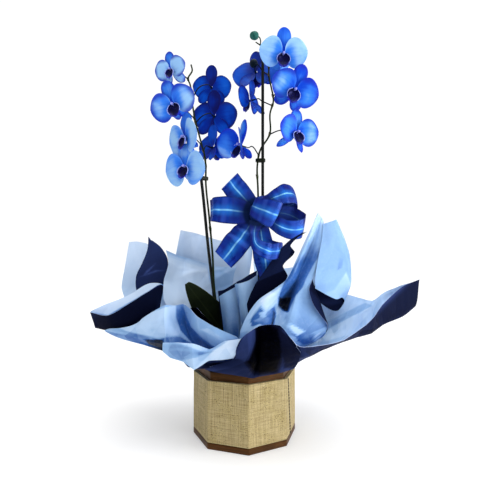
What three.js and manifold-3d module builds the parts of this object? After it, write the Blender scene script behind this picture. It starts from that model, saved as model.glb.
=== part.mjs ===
// A moth orchid with two flower spikes in an eight-sided pot, wrapped in two-sided paper with a ribbon bow.
// Millimetres, +Z up. The origin is the centre of the pot's underside, and the plant's front faces -Y.
import * as THREE from 'three';
import { mergeVertices } from 'three/addons/utils/BufferGeometryUtils.js';
import Module from 'manifold-3d';

const wasm = await Module();
wasm.setup();

// Driving dimensions of the pot
const POT_TURN = 4.6; // degrees that the near corner stands to the right of the front
const POT_CORNER = 85.5; // from the centre to a corner of the base and of the jute
const WALL_CORNER = 79.5; // from the centre to a corner of the wooden wall
const WALL = 5.0; // wall thickness, measured along the corner
const BASE_HEIGHT = 9.6;
const JUTE_TOP = 103;
const WALL_TOP = 115;
const GAP = 0.3; // clearance left between touching pieces
const SIMPLIFY = 0.06; // joined pieces lose corners that stand out less than this

// Driving dimensions of what the pot holds
const LINER_FLOOR = 47;
const LINER_MOUTH = 60.5;
const LINER_TOP = 110;
const LINER_WALL = 1.5;
const LINER_BASE = 2.5; // thickness of its floor
const LINER_LIP = { height: 5, overhang: 1.2 };
const BARK_TOP = 102;
const BARK_SHOULDER = { drop: 3, width: 8 }; // how the filling rounds off towards the liner
const ROOT_RADIUS = 2.2;
const CROWN = { x: 0, y: 4, z: 117, rx: 14, ry: 12, rz: 14 };

// Driving dimensions of the plant and its supports
const STEM_RADIUS = 1.8;
const STALK_RADIUS = 1.1;
const STAKE_RADIUS = 2.5;
const LEAF_THICK = 2.0;
const LEAF_TIP = 0.12; // narrowest part of a leaf, as a share of its width
const LEAF_FOLD = 0.1; // rise of a leaf's edges over its middle line, as a share of the half width
const PETAL_THICK = 1.0;
const STUB_LENGTH = 12; // the stalk's end that stays on each flower

// Driving dimensions of the wrapping
const PAPER_THICK = 0.8;
const RIBBON_THICK = 0.8;
const RINGS = { a: 62.6, b: 64.2, c: 66.2, d: 67.8 }; // circles round the liner on which sheets stand
const TUCK = 108; // height of the sheets' tucked-in edge
const ON_BARK = BARK_TOP + GAP + PAPER_THICK / 2 + 0.2; // lowest line of the rolls that stand on the bark
const CLEAR = 119; // height up to which they stay upright, clear of the wall's top

const COLOURS = {
  wood: { color: 0x4a2c1c, roughness: 0.5, metalness: 0 },
  jute: { color: 0xbfa878, roughness: 0.9, metalness: 0 },
  liner: { color: 0x2a2a2a, roughness: 0.6, metalness: 0 },
  bark: { color: 0x4b3525, roughness: 0.9, metalness: 0 },
  leaf: { color: 0x1d2a12, roughness: 0.45, metalness: 0 },
  stem: { color: 0x3a4a1c, roughness: 0.5, metalness: 0 },
  stake: { color: 0x14160f, roughness: 0.5, metalness: 0 },
  clip: { color: 0x2c3a1c, roughness: 0.4, metalness: 0 },
  petal: { color: 0x2f7dff, roughness: 0.45, metalness: 0 },
  paper: { color: 0xb8cdf2, roughness: 0.6, metalness: 0 },
  ribbon: { color: 0x1a48b8, roughness: 0.3, metalness: 0 },
};

const model = new THREE.Group();

function addPiece(name, geometry, colour) {
  const mesh = new THREE.Mesh(geometry, new THREE.MeshStandardMaterial(COLOURS[colour]));
  mesh.name = name;
  model.add(mesh);
  return mesh;
}

// Solids and booleans

function signedVolume(position, index) {
  const corner = [new THREE.Vector3(), new THREE.Vector3(), new THREE.Vector3()];
  let total = 0;
  for (let i = 0; i < index.count; i += 3) {
    for (let k = 0; k < 3; k++) {
      corner[k].fromBufferAttribute(position, index.getX(i + k));
    }
    total += corner[0].dot(corner[1].clone().cross(corner[2])) / 6;
  }
  return total;
}

function toSolid(geometry) {
  const bare = geometry.clone();
  bare.deleteAttribute('normal');
  bare.deleteAttribute('uv');
  const merged = mergeVertices(bare, 1e-4);
  const triVerts = new Uint32Array(merged.index.array);
  if (signedVolume(merged.attributes.position, merged.index) < 0) {
    for (let i = 0; i < triVerts.length; i += 3) {
      [triVerts[i], triVerts[i + 1]] = [triVerts[i + 1], triVerts[i]];
    }
  }
  const vertProperties = new Float32Array(merged.attributes.position.array);
  return new wasm.Manifold(new wasm.Mesh({ numProp: 3, vertProperties, triVerts }));
}

function toGeometry(solid) {
  const mesh = solid.simplify(SIMPLIFY).getMesh();
  const geometry = new THREE.BufferGeometry();
  geometry.setAttribute('position', new THREE.BufferAttribute(new Float32Array(mesh.vertProperties), 3));
  geometry.setIndex(new THREE.BufferAttribute(new Uint32Array(mesh.triVerts), 1));
  geometry.computeVertexNormals();
  return geometry;
}

function join(geometries) {
  return geometries.map(toSolid).reduce((whole, next) => whole.add(next));
}

// A ball squashed to three radii
function egg({ x, y, z, rx, ry, rz }, grow = 0, around = 12, down = 8) {
  const ball = new THREE.SphereGeometry(1, around, down);
  ball.rotateX(Math.PI / 2);
  ball.scale(rx + grow, ry + grow, rz + grow);
  ball.translate(x, y, z);
  return ball;
}

// A round rod along a smooth curve
function rod(points, radius, sides = 8, steps = 10) {
  const knots = points.map((p) => new THREE.Vector3(...p));
  const curve = new THREE.CatmullRomCurve3(knots, false, 'centripetal');
  const section = new THREE.Shape();
  for (let k = 0; k < sides; k++) {
    const angle = (2 * Math.PI * k) / sides;
    const x = radius * Math.cos(angle);
    const y = radius * Math.sin(angle);
    if (k === 0) section.moveTo(x, y);
    else section.lineTo(x, y);
  }
  return new THREE.ExtrudeGeometry(section, { steps, bevelEnabled: false, extrudePath: curve });
}

// Smooth curve through a row of points, with a fixed number of steps between two of them
function smoothRow(points, steps) {
  const spans = points.slice(1).map((point, i) => point.clone().sub(points[i]));
  const lengths = spans.map((span) => span.length());
  const tangents = points.map((_, i) => {
    if (i === 0) return spans[0].clone().normalize();
    if (i === spans.length) return spans[i - 1].clone().normalize();
    const before = spans[i - 1].clone().multiplyScalar(lengths[i] / lengths[i - 1]);
    const after = spans[i].clone().multiplyScalar(lengths[i - 1] / lengths[i]);
    return before.add(after).normalize();
  });
  const row = [];
  for (let i = 0; i < spans.length; i++) {
    for (let s = 0; s < steps; s++) {
      const t = s / steps;
      const blend = t * t * (3 - 2 * t);
      row.push(points[i].clone().addScaledVector(spans[i], blend)
        .addScaledVector(tangents[i], lengths[i] * t * (1 - t) ** 2)
        .addScaledVector(tangents[i + 1], -lengths[i] * t * t * (1 - t)));
    }
  }
  row.push(points[points.length - 1].clone());
  return row;
}

// Smooth surface through rows of points
function smoothGrid(rows, stepsAcross, stepsAlong) {
  const fine = rows.map((row) => smoothRow(row.map((p) => new THREE.Vector3(...p)), stepsAlong));
  const grid = fine[0].map((_, j) => smoothRow(fine.map((row) => row[j]), stepsAcross));
  return grid[0].map((_, i) => grid.map((column) => column[i]));
}

// A closed slab of even thickness on both sides of a grid of points
function slab(grid, thickness) {
  const rows = grid.length;
  const columns = grid[0].length;
  const normal = (i, j) => {
    const along = grid[i][Math.min(j + 1, columns - 1)].clone().sub(grid[i][Math.max(j - 1, 0)]);
    const across = grid[Math.min(i + 1, rows - 1)][j].clone().sub(grid[Math.max(i - 1, 0)][j]);
    return along.cross(across).normalize();
  };
  const positions = [];
  for (const side of [0.5, -0.5]) {
    for (let i = 0; i < rows; i++) {
      for (let j = 0; j < columns; j++) {
        const point = grid[i][j].clone().addScaledVector(normal(i, j), side * thickness);
        positions.push(point.x, point.y, point.z);
      }
    }
  }
  const under = rows * columns;
  const index = [];
  const quad = (a, b, c, d) => index.push(a, b, c, a, c, d);
  for (let i = 0; i < rows - 1; i++) {
    for (let j = 0; j < columns - 1; j++) {
      const a = i * columns + j;
      quad(a, a + 1, a + columns + 1, a + columns);
      quad(under + a, under + a + columns, under + a + columns + 1, under + a + 1);
    }
  }
  for (let j = 0; j < columns - 1; j++) {
    const top = (rows - 1) * columns + j;
    quad(j, under + j, under + j + 1, j + 1);
    quad(top, top + 1, under + top + 1, under + top);
  }
  for (let i = 0; i < rows - 1; i++) {
    const left = i * columns;
    const right = left + columns - 1;
    quad(left, left + columns, under + left + columns, under + left);
    quad(right, under + right, under + right + columns, right + columns);
  }
  const geometry = new THREE.BufferGeometry();
  geometry.setAttribute('position', new THREE.Float32BufferAttribute(positions, 3));
  geometry.setIndex(index);
  return geometry;
}

// The pot: base board, wooden wall and jute-covered band

function octagon(corner) {
  const points = [];
  for (let k = 0; k < 8; k++) {
    const angle = THREE.MathUtils.degToRad(POT_TURN + 45 * k);
    points.push(new THREE.Vector2(corner * Math.sin(angle), -corner * Math.cos(angle)));
  }
  return points;
}

function octagonBlock(outer, inner, bottom, top) {
  const shape = new THREE.Shape(octagon(outer));
  if (inner) shape.holes.push(new THREE.Path(octagon(inner).reverse()));
  const block = new THREE.ExtrudeGeometry(shape, { depth: top - bottom, bevelEnabled: false });
  block.translate(0, 0, bottom);
  return block;
}

addPiece('base_board', octagonBlock(POT_CORNER, 0, 0, BASE_HEIGHT), 'wood');
const wallFoot = BASE_HEIGHT + GAP;
addPiece('pot_wall', octagonBlock(WALL_CORNER, WALL_CORNER - WALL, wallFoot, WALL_TOP), 'wood');
addPiece('jute_band', octagonBlock(POT_CORNER, WALL_CORNER + GAP, wallFoot, JUTE_TOP), 'jute');

// The liner and the bark that fills it

function turned(profile, segments) {
  const points = profile.map(([radius, height]) => new THREE.Vector2(radius, height));
  const shape = new THREE.LatheGeometry(points, segments);
  shape.rotateX(Math.PI / 2);
  return shape;
}

function linerRadius(height) {
  return LINER_FLOOR + ((LINER_MOUTH - LINER_FLOOR) * (height - wallFoot)) / (LINER_TOP - wallFoot);
}

const linerFloor = wallFoot + LINER_BASE;
const lipFoot = LINER_TOP - LINER_LIP.height;
addPiece('grow_pot', turned([
  [0, wallFoot],
  [LINER_FLOOR, wallFoot],
  [linerRadius(lipFoot - 1), lipFoot - 1],
  [linerRadius(lipFoot) + LINER_LIP.overhang, lipFoot],
  [LINER_MOUTH + LINER_LIP.overhang, LINER_TOP],
  [LINER_MOUTH - LINER_WALL, LINER_TOP],
  [LINER_FLOOR - LINER_WALL, linerFloor],
  [0, linerFloor],
], 24), 'liner');

const STAKES = {
  left_stake: [[-31, 4, 30], [-38, 5, 97], [-53, 4, 232], [-61, 0, 303], [-71, -8, 410], [-76, -9, 452]],
  right_stake: [[31, 0, 30], [31, 0, 98], [30, 0, 283], [30, -1, 395], [30, -2, 622]],
};

function barkSolid() {
  const foot = linerFloor + GAP;
  const shrink = LINER_WALL + 0.5;
  const shoulder = BARK_TOP - BARK_SHOULDER.drop;
  const body = toSolid(turned([
    [0, foot],
    [linerRadius(foot) - shrink, foot],
    [linerRadius(shoulder) - shrink, shoulder],
    [linerRadius(shoulder) - shrink - BARK_SHOULDER.width, BARK_TOP],
    [0, BARK_TOP],
  ], 24));
  const holes = Object.values(STAKES).map((route) => rod(route.slice(0, 3), STAKE_RADIUS + GAP, 8, 8));
  return holes.reduce((rest, hole) => rest.subtract(toSolid(hole)), body);
}

addPiece('bark', toGeometry(barkSolid()), 'bark');
for (const [name, route] of Object.entries(STAKES)) {
  const lifted = route.map(([x, y, z], i) => [x, y, i === 0 ? z + GAP : z]);
  addPiece(name, rod(lifted, STAKE_RADIUS, 8, 12), 'stake');
}

// The plant's crown with its root collar, the leaves and the two spikes

const ROOT_ANGLES = [35, 95, 160, 225, 325];

function rootRod(angle) {
  const a = THREE.MathUtils.degToRad(angle);
  const level = BARK_TOP + GAP + ROOT_RADIUS + 0.2;
  const at = (r, z, turn = 0) => [r * Math.sin(a + turn), CROWN.y - r * Math.cos(a + turn), z];
  const route = [at(8, 112), at(17, level + 1), at(27, level, 0.1), at(36, level, -0.05)];
  return rod(route, ROOT_RADIUS, 6, 5);
}

function crownSolid() {
  const collar = toSolid(egg(CROWN));
  return ROOT_ANGLES.reduce((whole, angle) => whole.add(toSolid(rootRod(angle))), collar);
}

const crown = crownSolid();
const crownClearance = toSolid(egg(CROWN, GAP + 0.1));
addPiece('crown', toGeometry(crown), 'stem');

// A strap leaf: a middle line, a width and the direction of its width
const LEAVES = {
  leaf_front_left: {
    line: [[-5, -4, 122], [-36, -14, 168], [-63, -28, 209], [-90, -44, 249]], width: 48,
    side: [0.78, 0.35, 0.5],
  },
  leaf_back_right: {
    line: [[6, 14, 124], [34, 44, 150], [56, 62, 180], [74, 72, 206]], width: 48,
    side: [0.66, -0.75, 0.0],
  },
  leaf_back_left: {
    line: [[-8, 12, 124], [-22, 20, 148], [-34, 26, 168], [-44, 28, 186]], width: 30,
    side: [0.75, 0.6, -0.1],
  },
  leaf_right: {
    line: [[5, -3, 121], [26, -22, 140], [42, -32, 156], [56, -38, 176]], width: 32,
    side: [0.53, 0.85, 0],
  },
  leaf_heart: {
    line: [[1, 8, 128], [4, 16, 152], [4, 22, 174], [0, 30, 198]], width: 22, side: [0.95, 0.2, 0.1],
  },
};

function leafSolid({ line, width, side }) {
  const spine = smoothRow(line.map((p) => new THREE.Vector3(...p)), 2);
  const across = new THREE.Vector3(...side).normalize();
  const rows = spine.map((point, i) => {
    const t = i / (spine.length - 1);
    const half = 0.5 * width * Math.max(LEAF_TIP, Math.sin(Math.PI * (0.06 + 0.92 * t)) ** 0.7);
    return [-1, -0.5, 0, 0.5, 1].map((w) => {
      const edge = point.clone().addScaledVector(across, w * half);
      edge.z += LEAF_FOLD * half * Math.abs(w);
      return edge;
    });
  });
  return toSolid(slab(rows, LEAF_THICK)).subtract(crownClearance);
}

// Flowers: place of the centre, the way the face looks (azimuth to the right of the front, elevation up),
// roll and size. petalLean tips the two petals forward and lowerLean the two lower sepals, in degrees.
const FLOWERS = {
  flower_left_1: {
    at: [-116, -40, 584], azimuth: -20, elevation: -12, roll: -6, size: 0.72, lowerLean: -15,
  },
  flower_left_2: {
    at: [-110, -46, 526], azimuth: -10, elevation: -14, roll: -20, size: 1.0, lowerLean: -45,
  },
  flower_left_3: {
    at: [-92, -42, 477], azimuth: -45, elevation: -8, roll: -4, size: 0.96, lowerLean: -50,
    petalLean: 14,
  },
  flower_left_4: {
    at: [-92, -44, 430], azimuth: -26, elevation: -6, roll: 0, size: 0.94, lowerLean: -32,
  },
  flower_left_5: { at: [-58, 22, 585], azimuth: 172, elevation: 8, roll: -4, size: 0.9, lowerLean: 5 },
  flower_left_6: { at: [-53, 19, 534], azimuth: 166, elevation: 4, roll: -4, size: 1.06, lowerLean: 0 },
  flower_left_7: { at: [-55, 16, 479], azimuth: 142, elevation: 0, roll: -8, size: 0.95 },
  flower_right_1: { at: [61, -38, 609], azimuth: 4, elevation: -18, roll: 2, size: 1.0, lowerLean: -60 },
  flower_right_2: {
    at: [78, -44, 550], azimuth: 6, elevation: -18, roll: 20, size: 1.02, lowerLean: -35,
  },
  flower_right_3: {
    at: [82, -36, 486], azimuth: 26, elevation: -6, roll: 4, size: 0.98, petalLean: 20, lowerLean: -20,
  },
  flower_right_4: { at: [19, 22, 611], azimuth: 166, elevation: -12, roll: 0, size: 0.98, lowerLean: -8 },
  flower_right_5: { at: [9, 8, 557], azimuth: 262, elevation: 0, roll: 0, size: 0.85 },
  flower_right_6: {
    at: [-6, -30, 468], azimuth: -42, elevation: -5, roll: 14, size: 1.05, petalLean: 36,
    lowerLean: -30,
  },
};

function facing({ azimuth, elevation, roll }) {
  const [a, e, r] = [azimuth, elevation, roll].map(THREE.MathUtils.degToRad);
  const face = new THREE.Vector3(Math.sin(a) * Math.cos(e), -Math.cos(a) * Math.cos(e), Math.sin(e));
  const right = new THREE.Vector3(0, 0, 1).cross(face).normalize();
  const up = face.clone().cross(right);
  const u = right.clone().multiplyScalar(Math.cos(r)).addScaledVector(up, -Math.sin(r));
  const v = right.clone().multiplyScalar(Math.sin(r)).addScaledVector(up, Math.cos(r));
  return { u, v, face };
}

const PETAL = { length: 39, width: 44, bluntness: 0.55, widest: 0.86, steps: [0, 0.32, 0.66, 0.9, 1] };
const SEPAL = { length: 40, width: 23, bluntness: 0.58, widest: 1.2, steps: [0, 0.4, 0.8, 1] };
const LOWER_SEPAL = { length: 36, width: 21, bluntness: 0.58, widest: 1.2, steps: [0, 0.4, 0.8, 1] };
const HEART_RADIUS = 3.6; // the ball at the flower's centre that the petals grow from
const CLAW = 1.3; // half the width of a petal where it leaves the ball, and at its tip

// One petal or sepal in the flower's own axes: across, up and out of the face
function tepalGrid({ length, width, bluntness, widest, steps }, angle, lean, cup, curl, lift) {
  const a = THREE.MathUtils.degToRad(angle);
  const tilt = THREE.MathUtils.degToRad(lean);
  const start = 0.6 * HEART_RADIUS;
  const rows = [];
  for (const t of steps) {
    const bulge = Math.max(0, Math.sin(Math.PI * t ** widest)) ** bluntness;
    const half = Math.max(0.5 * width * bulge, CLAW);
    const reach = start + (length - start) * t;
    const flat = reach * Math.cos(tilt);
    const out = reach * Math.sin(tilt);
    rows.push([-1, 0, 1].map((w) => new THREE.Vector3(
      Math.sin(a) * flat + Math.cos(a) * half * w,
      Math.cos(a) * flat - Math.sin(a) * half * w,
      out - curl * t ** 3 + cup * w * w * Math.sin(Math.PI * Math.min(1, 1.1 * t)) + lift,
    )));
  }
  return rows;
}

const USUAL_LEAN = { petal: 8, sepal: -4, lower: -28 };

function lipGrid() {
  const steps = [[2, 0, 2], [7, -4, 9], [12, -12, 8], [14, -19, 3]];
  return steps.map(([out, up, half]) => [
    new THREE.Vector3(-half, up, out + 3),
    new THREE.Vector3(0, up, out),
    new THREE.Vector3(half, up, out + 3),
  ]);
}

function flowerSolid(name) {
  const flower = FLOWERS[name];
  const { u, v, face } = facing(flower);
  const petalLean = flower.petalLean ?? USUAL_LEAN.petal;
  const lowerLean = flower.lowerLean ?? USUAL_LEAN.lower;
  const grids = [
    tepalGrid(SEPAL, 0, USUAL_LEAN.sepal, -1.5, 2, -1.2),
    tepalGrid(LOWER_SEPAL, -138, lowerLean, -1.5, 2, -1.2),
    tepalGrid(LOWER_SEPAL, 138, lowerLean, -1.5, 2, -1.2),
    tepalGrid(PETAL, -80, petalLean, 1.5, 4, 0.5),
    tepalGrid(PETAL, 80, petalLean, 1.5, 4, 0.5),
    lipGrid(),
  ];
  const size = new THREE.Vector3(1, 1, 1).multiplyScalar(flower.size);
  const place = new THREE.Matrix4().makeBasis(u, v, face).scale(size);
  place.setPosition(...flower.at);
  const parts = grids.map((grid) => slab(grid, PETAL_THICK));
  const heart = { x: 0, y: 0, z: 0, rx: HEART_RADIUS, ry: HEART_RADIUS, rz: HEART_RADIUS };
  parts.push(egg(heart, 0, 8, 4));
  parts.push(rod([[0, 0, 0], [0, 0, -0.5 * STUB_LENGTH], [0, 0, -STUB_LENGTH]], STALK_RADIUS, 6, 1));
  return join(parts.map((part) => part.applyMatrix4(place)));
}

// Where the flower's stalk ends, and the way the flower looks from there
function stalkEnd(name) {
  const flower = FLOWERS[name];
  const { face } = facing(flower);
  const reach = STUB_LENGTH * flower.size + GAP;
  return { end: new THREE.Vector3(...flower.at).addScaledVector(face, -reach), face };
}

// Spikes: the stem's route, then each flower's stalk from its node on the stem, with points on the way
const SPIKES = {
  left_spike: {
    stem: [
      [-10, 3, 121], [-24, 2, 132], [-36, 1, 152], [-43, 0, 182], [-51, -1, 236], [-54, -2, 294],
      [-60, -2, 361], [-65, -3, 411], [-66, -4, 453], [-75, -3, 490], [-82, -2, 515], [-88, -2, 549],
      [-92, -2, 581], [-95, -2, 589], [-88, -2, 604], [-90, -2, 613],
    ],
    stalks: {
      flower_left_1: [[-95, -2, 589], [-104, -14, 591]],
      flower_left_2: [[-83, -2, 521], [-96, -16, 530]],
      flower_left_3: [[-69, -4, 468], [-74, -20, 477]],
      flower_left_4: [[-66, -4, 443], [-75, -19, 438]],
      flower_left_5: [[-88, -2, 555], [-76, -8, 572]],
      flower_left_6: [[-82, -2, 516], [-70, -10, 524]],
      flower_left_7: [[-66, -4, 455], [-68, -2, 470]],
    },
  },
  right_spike: {
    stem: [
      [10, 3, 121], [18, 3, 136], [21, 1, 190], [23, -4, 303], [22, -4, 403], [21, -3, 445], [26, 5, 472],
      [42, 5, 499], [43, 4, 536], [48, 3, 553], [44, 2, 579], [41, 2, 593], [39, 2, 623], [26, 0, 647],
    ],
    stalks: {
      flower_right_1: [[40, 2, 612], [53, -12, 622]],
      flower_right_2: [[46, 3, 562], [64, -14, 566]],
      flower_right_3: [[42, 5, 499], [60, -8, 501]],
      flower_right_4: [[41, 2, 597], [30, 6.5, 607], [19, 1.5, 616]],
      flower_right_5: [[46, 3.5, 547], [38, 7, 552], [28, 7.4, 557]],
      flower_right_6: [[23, 1, 463], [12, -9, 474]],
    },
  },
};
const BUD = { x: 16, y: 0, z: 663, rx: 6.6, ry: 6.6, rz: 7.4 };

function stalkRod(flower, points) {
  const { end, face } = stalkEnd(flower);
  const before = end.clone().addScaledVector(face, -5);
  return rod([...points, before.toArray(), end.toArray()], STALK_RADIUS, 6, 4);
}

function spikeSolid({ stem, stalks }) {
  const parts = [rod(stem, STEM_RADIUS, 6, 36)];
  for (const [flower, points] of Object.entries(stalks)) parts.push(stalkRod(flower, points));
  return join(parts).subtract(crownClearance);
}

const budStalk = [[26, 0, 647], [26.5, 0, 654], [24.5, 0, 660], [20, 0, 662.5]];
const budStub = [[26, 0, 647], [22, -1, 649], [18, -2, 651]];
const rightSpike = spikeSolid(SPIKES.right_spike)
  .add(toSolid(rod(budStalk, STALK_RADIUS, 6, 6)))
  .add(toSolid(rod(budStub, STALK_RADIUS, 6, 3)))
  .subtract(toSolid(egg(BUD, GAP)));

addPiece('left_spike', toGeometry(spikeSolid(SPIKES.left_spike)), 'stem');
addPiece('right_spike', toGeometry(rightSpike), 'stem');
addPiece('bud', egg(BUD), 'stem');
for (const [name, leaf] of Object.entries(LEAVES)) addPiece(name, toGeometry(leafSolid(leaf)), 'leaf');
for (const name of Object.keys(FLOWERS)) addPiece(name, toGeometry(flowerSolid(name)), 'petal');

// Clips: a flat loop round a stem and its stake
const CLIP_PLAY = 0.8;
const CLIP_WALL = 1.2;

function clipRing({ stem, stake, z, height }) {
  const outline = (radius, hole) => {
    const from = new THREE.Vector2(...stem);
    const to = new THREE.Vector2(...stake);
    const angle = Math.atan2(to.y - from.y, to.x - from.x);
    const path = hole ? new THREE.Path() : new THREE.Shape();
    path.absarc(to.x, to.y, radius, angle - Math.PI / 2, angle + Math.PI / 2, false);
    path.absarc(from.x, from.y, radius, angle + Math.PI / 2, angle + 1.5 * Math.PI, false);
    return path;
  };
  const inner = STAKE_RADIUS + CLIP_PLAY;
  const shape = outline(inner + CLIP_WALL, false);
  shape.holes.push(outline(inner, true));
  const loop = new THREE.ExtrudeGeometry(shape, { depth: height, bevelEnabled: false, curveSegments: 5 });
  loop.translate(0, 0, z - height / 2);
  return loop;
}

addPiece('left_clip', clipRing({ stem: [-65.4, -3.3], stake: [-72.2, -8.3], z: 422, height: 5 }), 'clip');
addPiece('right_clip', clipRing({ stem: [22.4, -0.9], stake: [30, -1.25], z: 453, height: 5 }), 'clip');

// Paper: each sheet is a smooth surface through rows of points. Rows in the pot lie on a circle.
function ring(name, from, to, z, count) {
  const row = [];
  for (let k = 0; k < count; k++) {
    const angle = THREE.MathUtils.degToRad(from + ((to - from) * k) / (count - 1));
    row.push([RINGS[name] * Math.sin(angle), -RINGS[name] * Math.cos(angle), z]);
  }
  return row;
}

const spot = (name, angle, z) => ring(name, angle, angle + 1, z, 2)[0];
const tucked = (name, from, to, count) => [TUCK, CLEAR].map((z) => ring(name, from, to, z, count));

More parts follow.
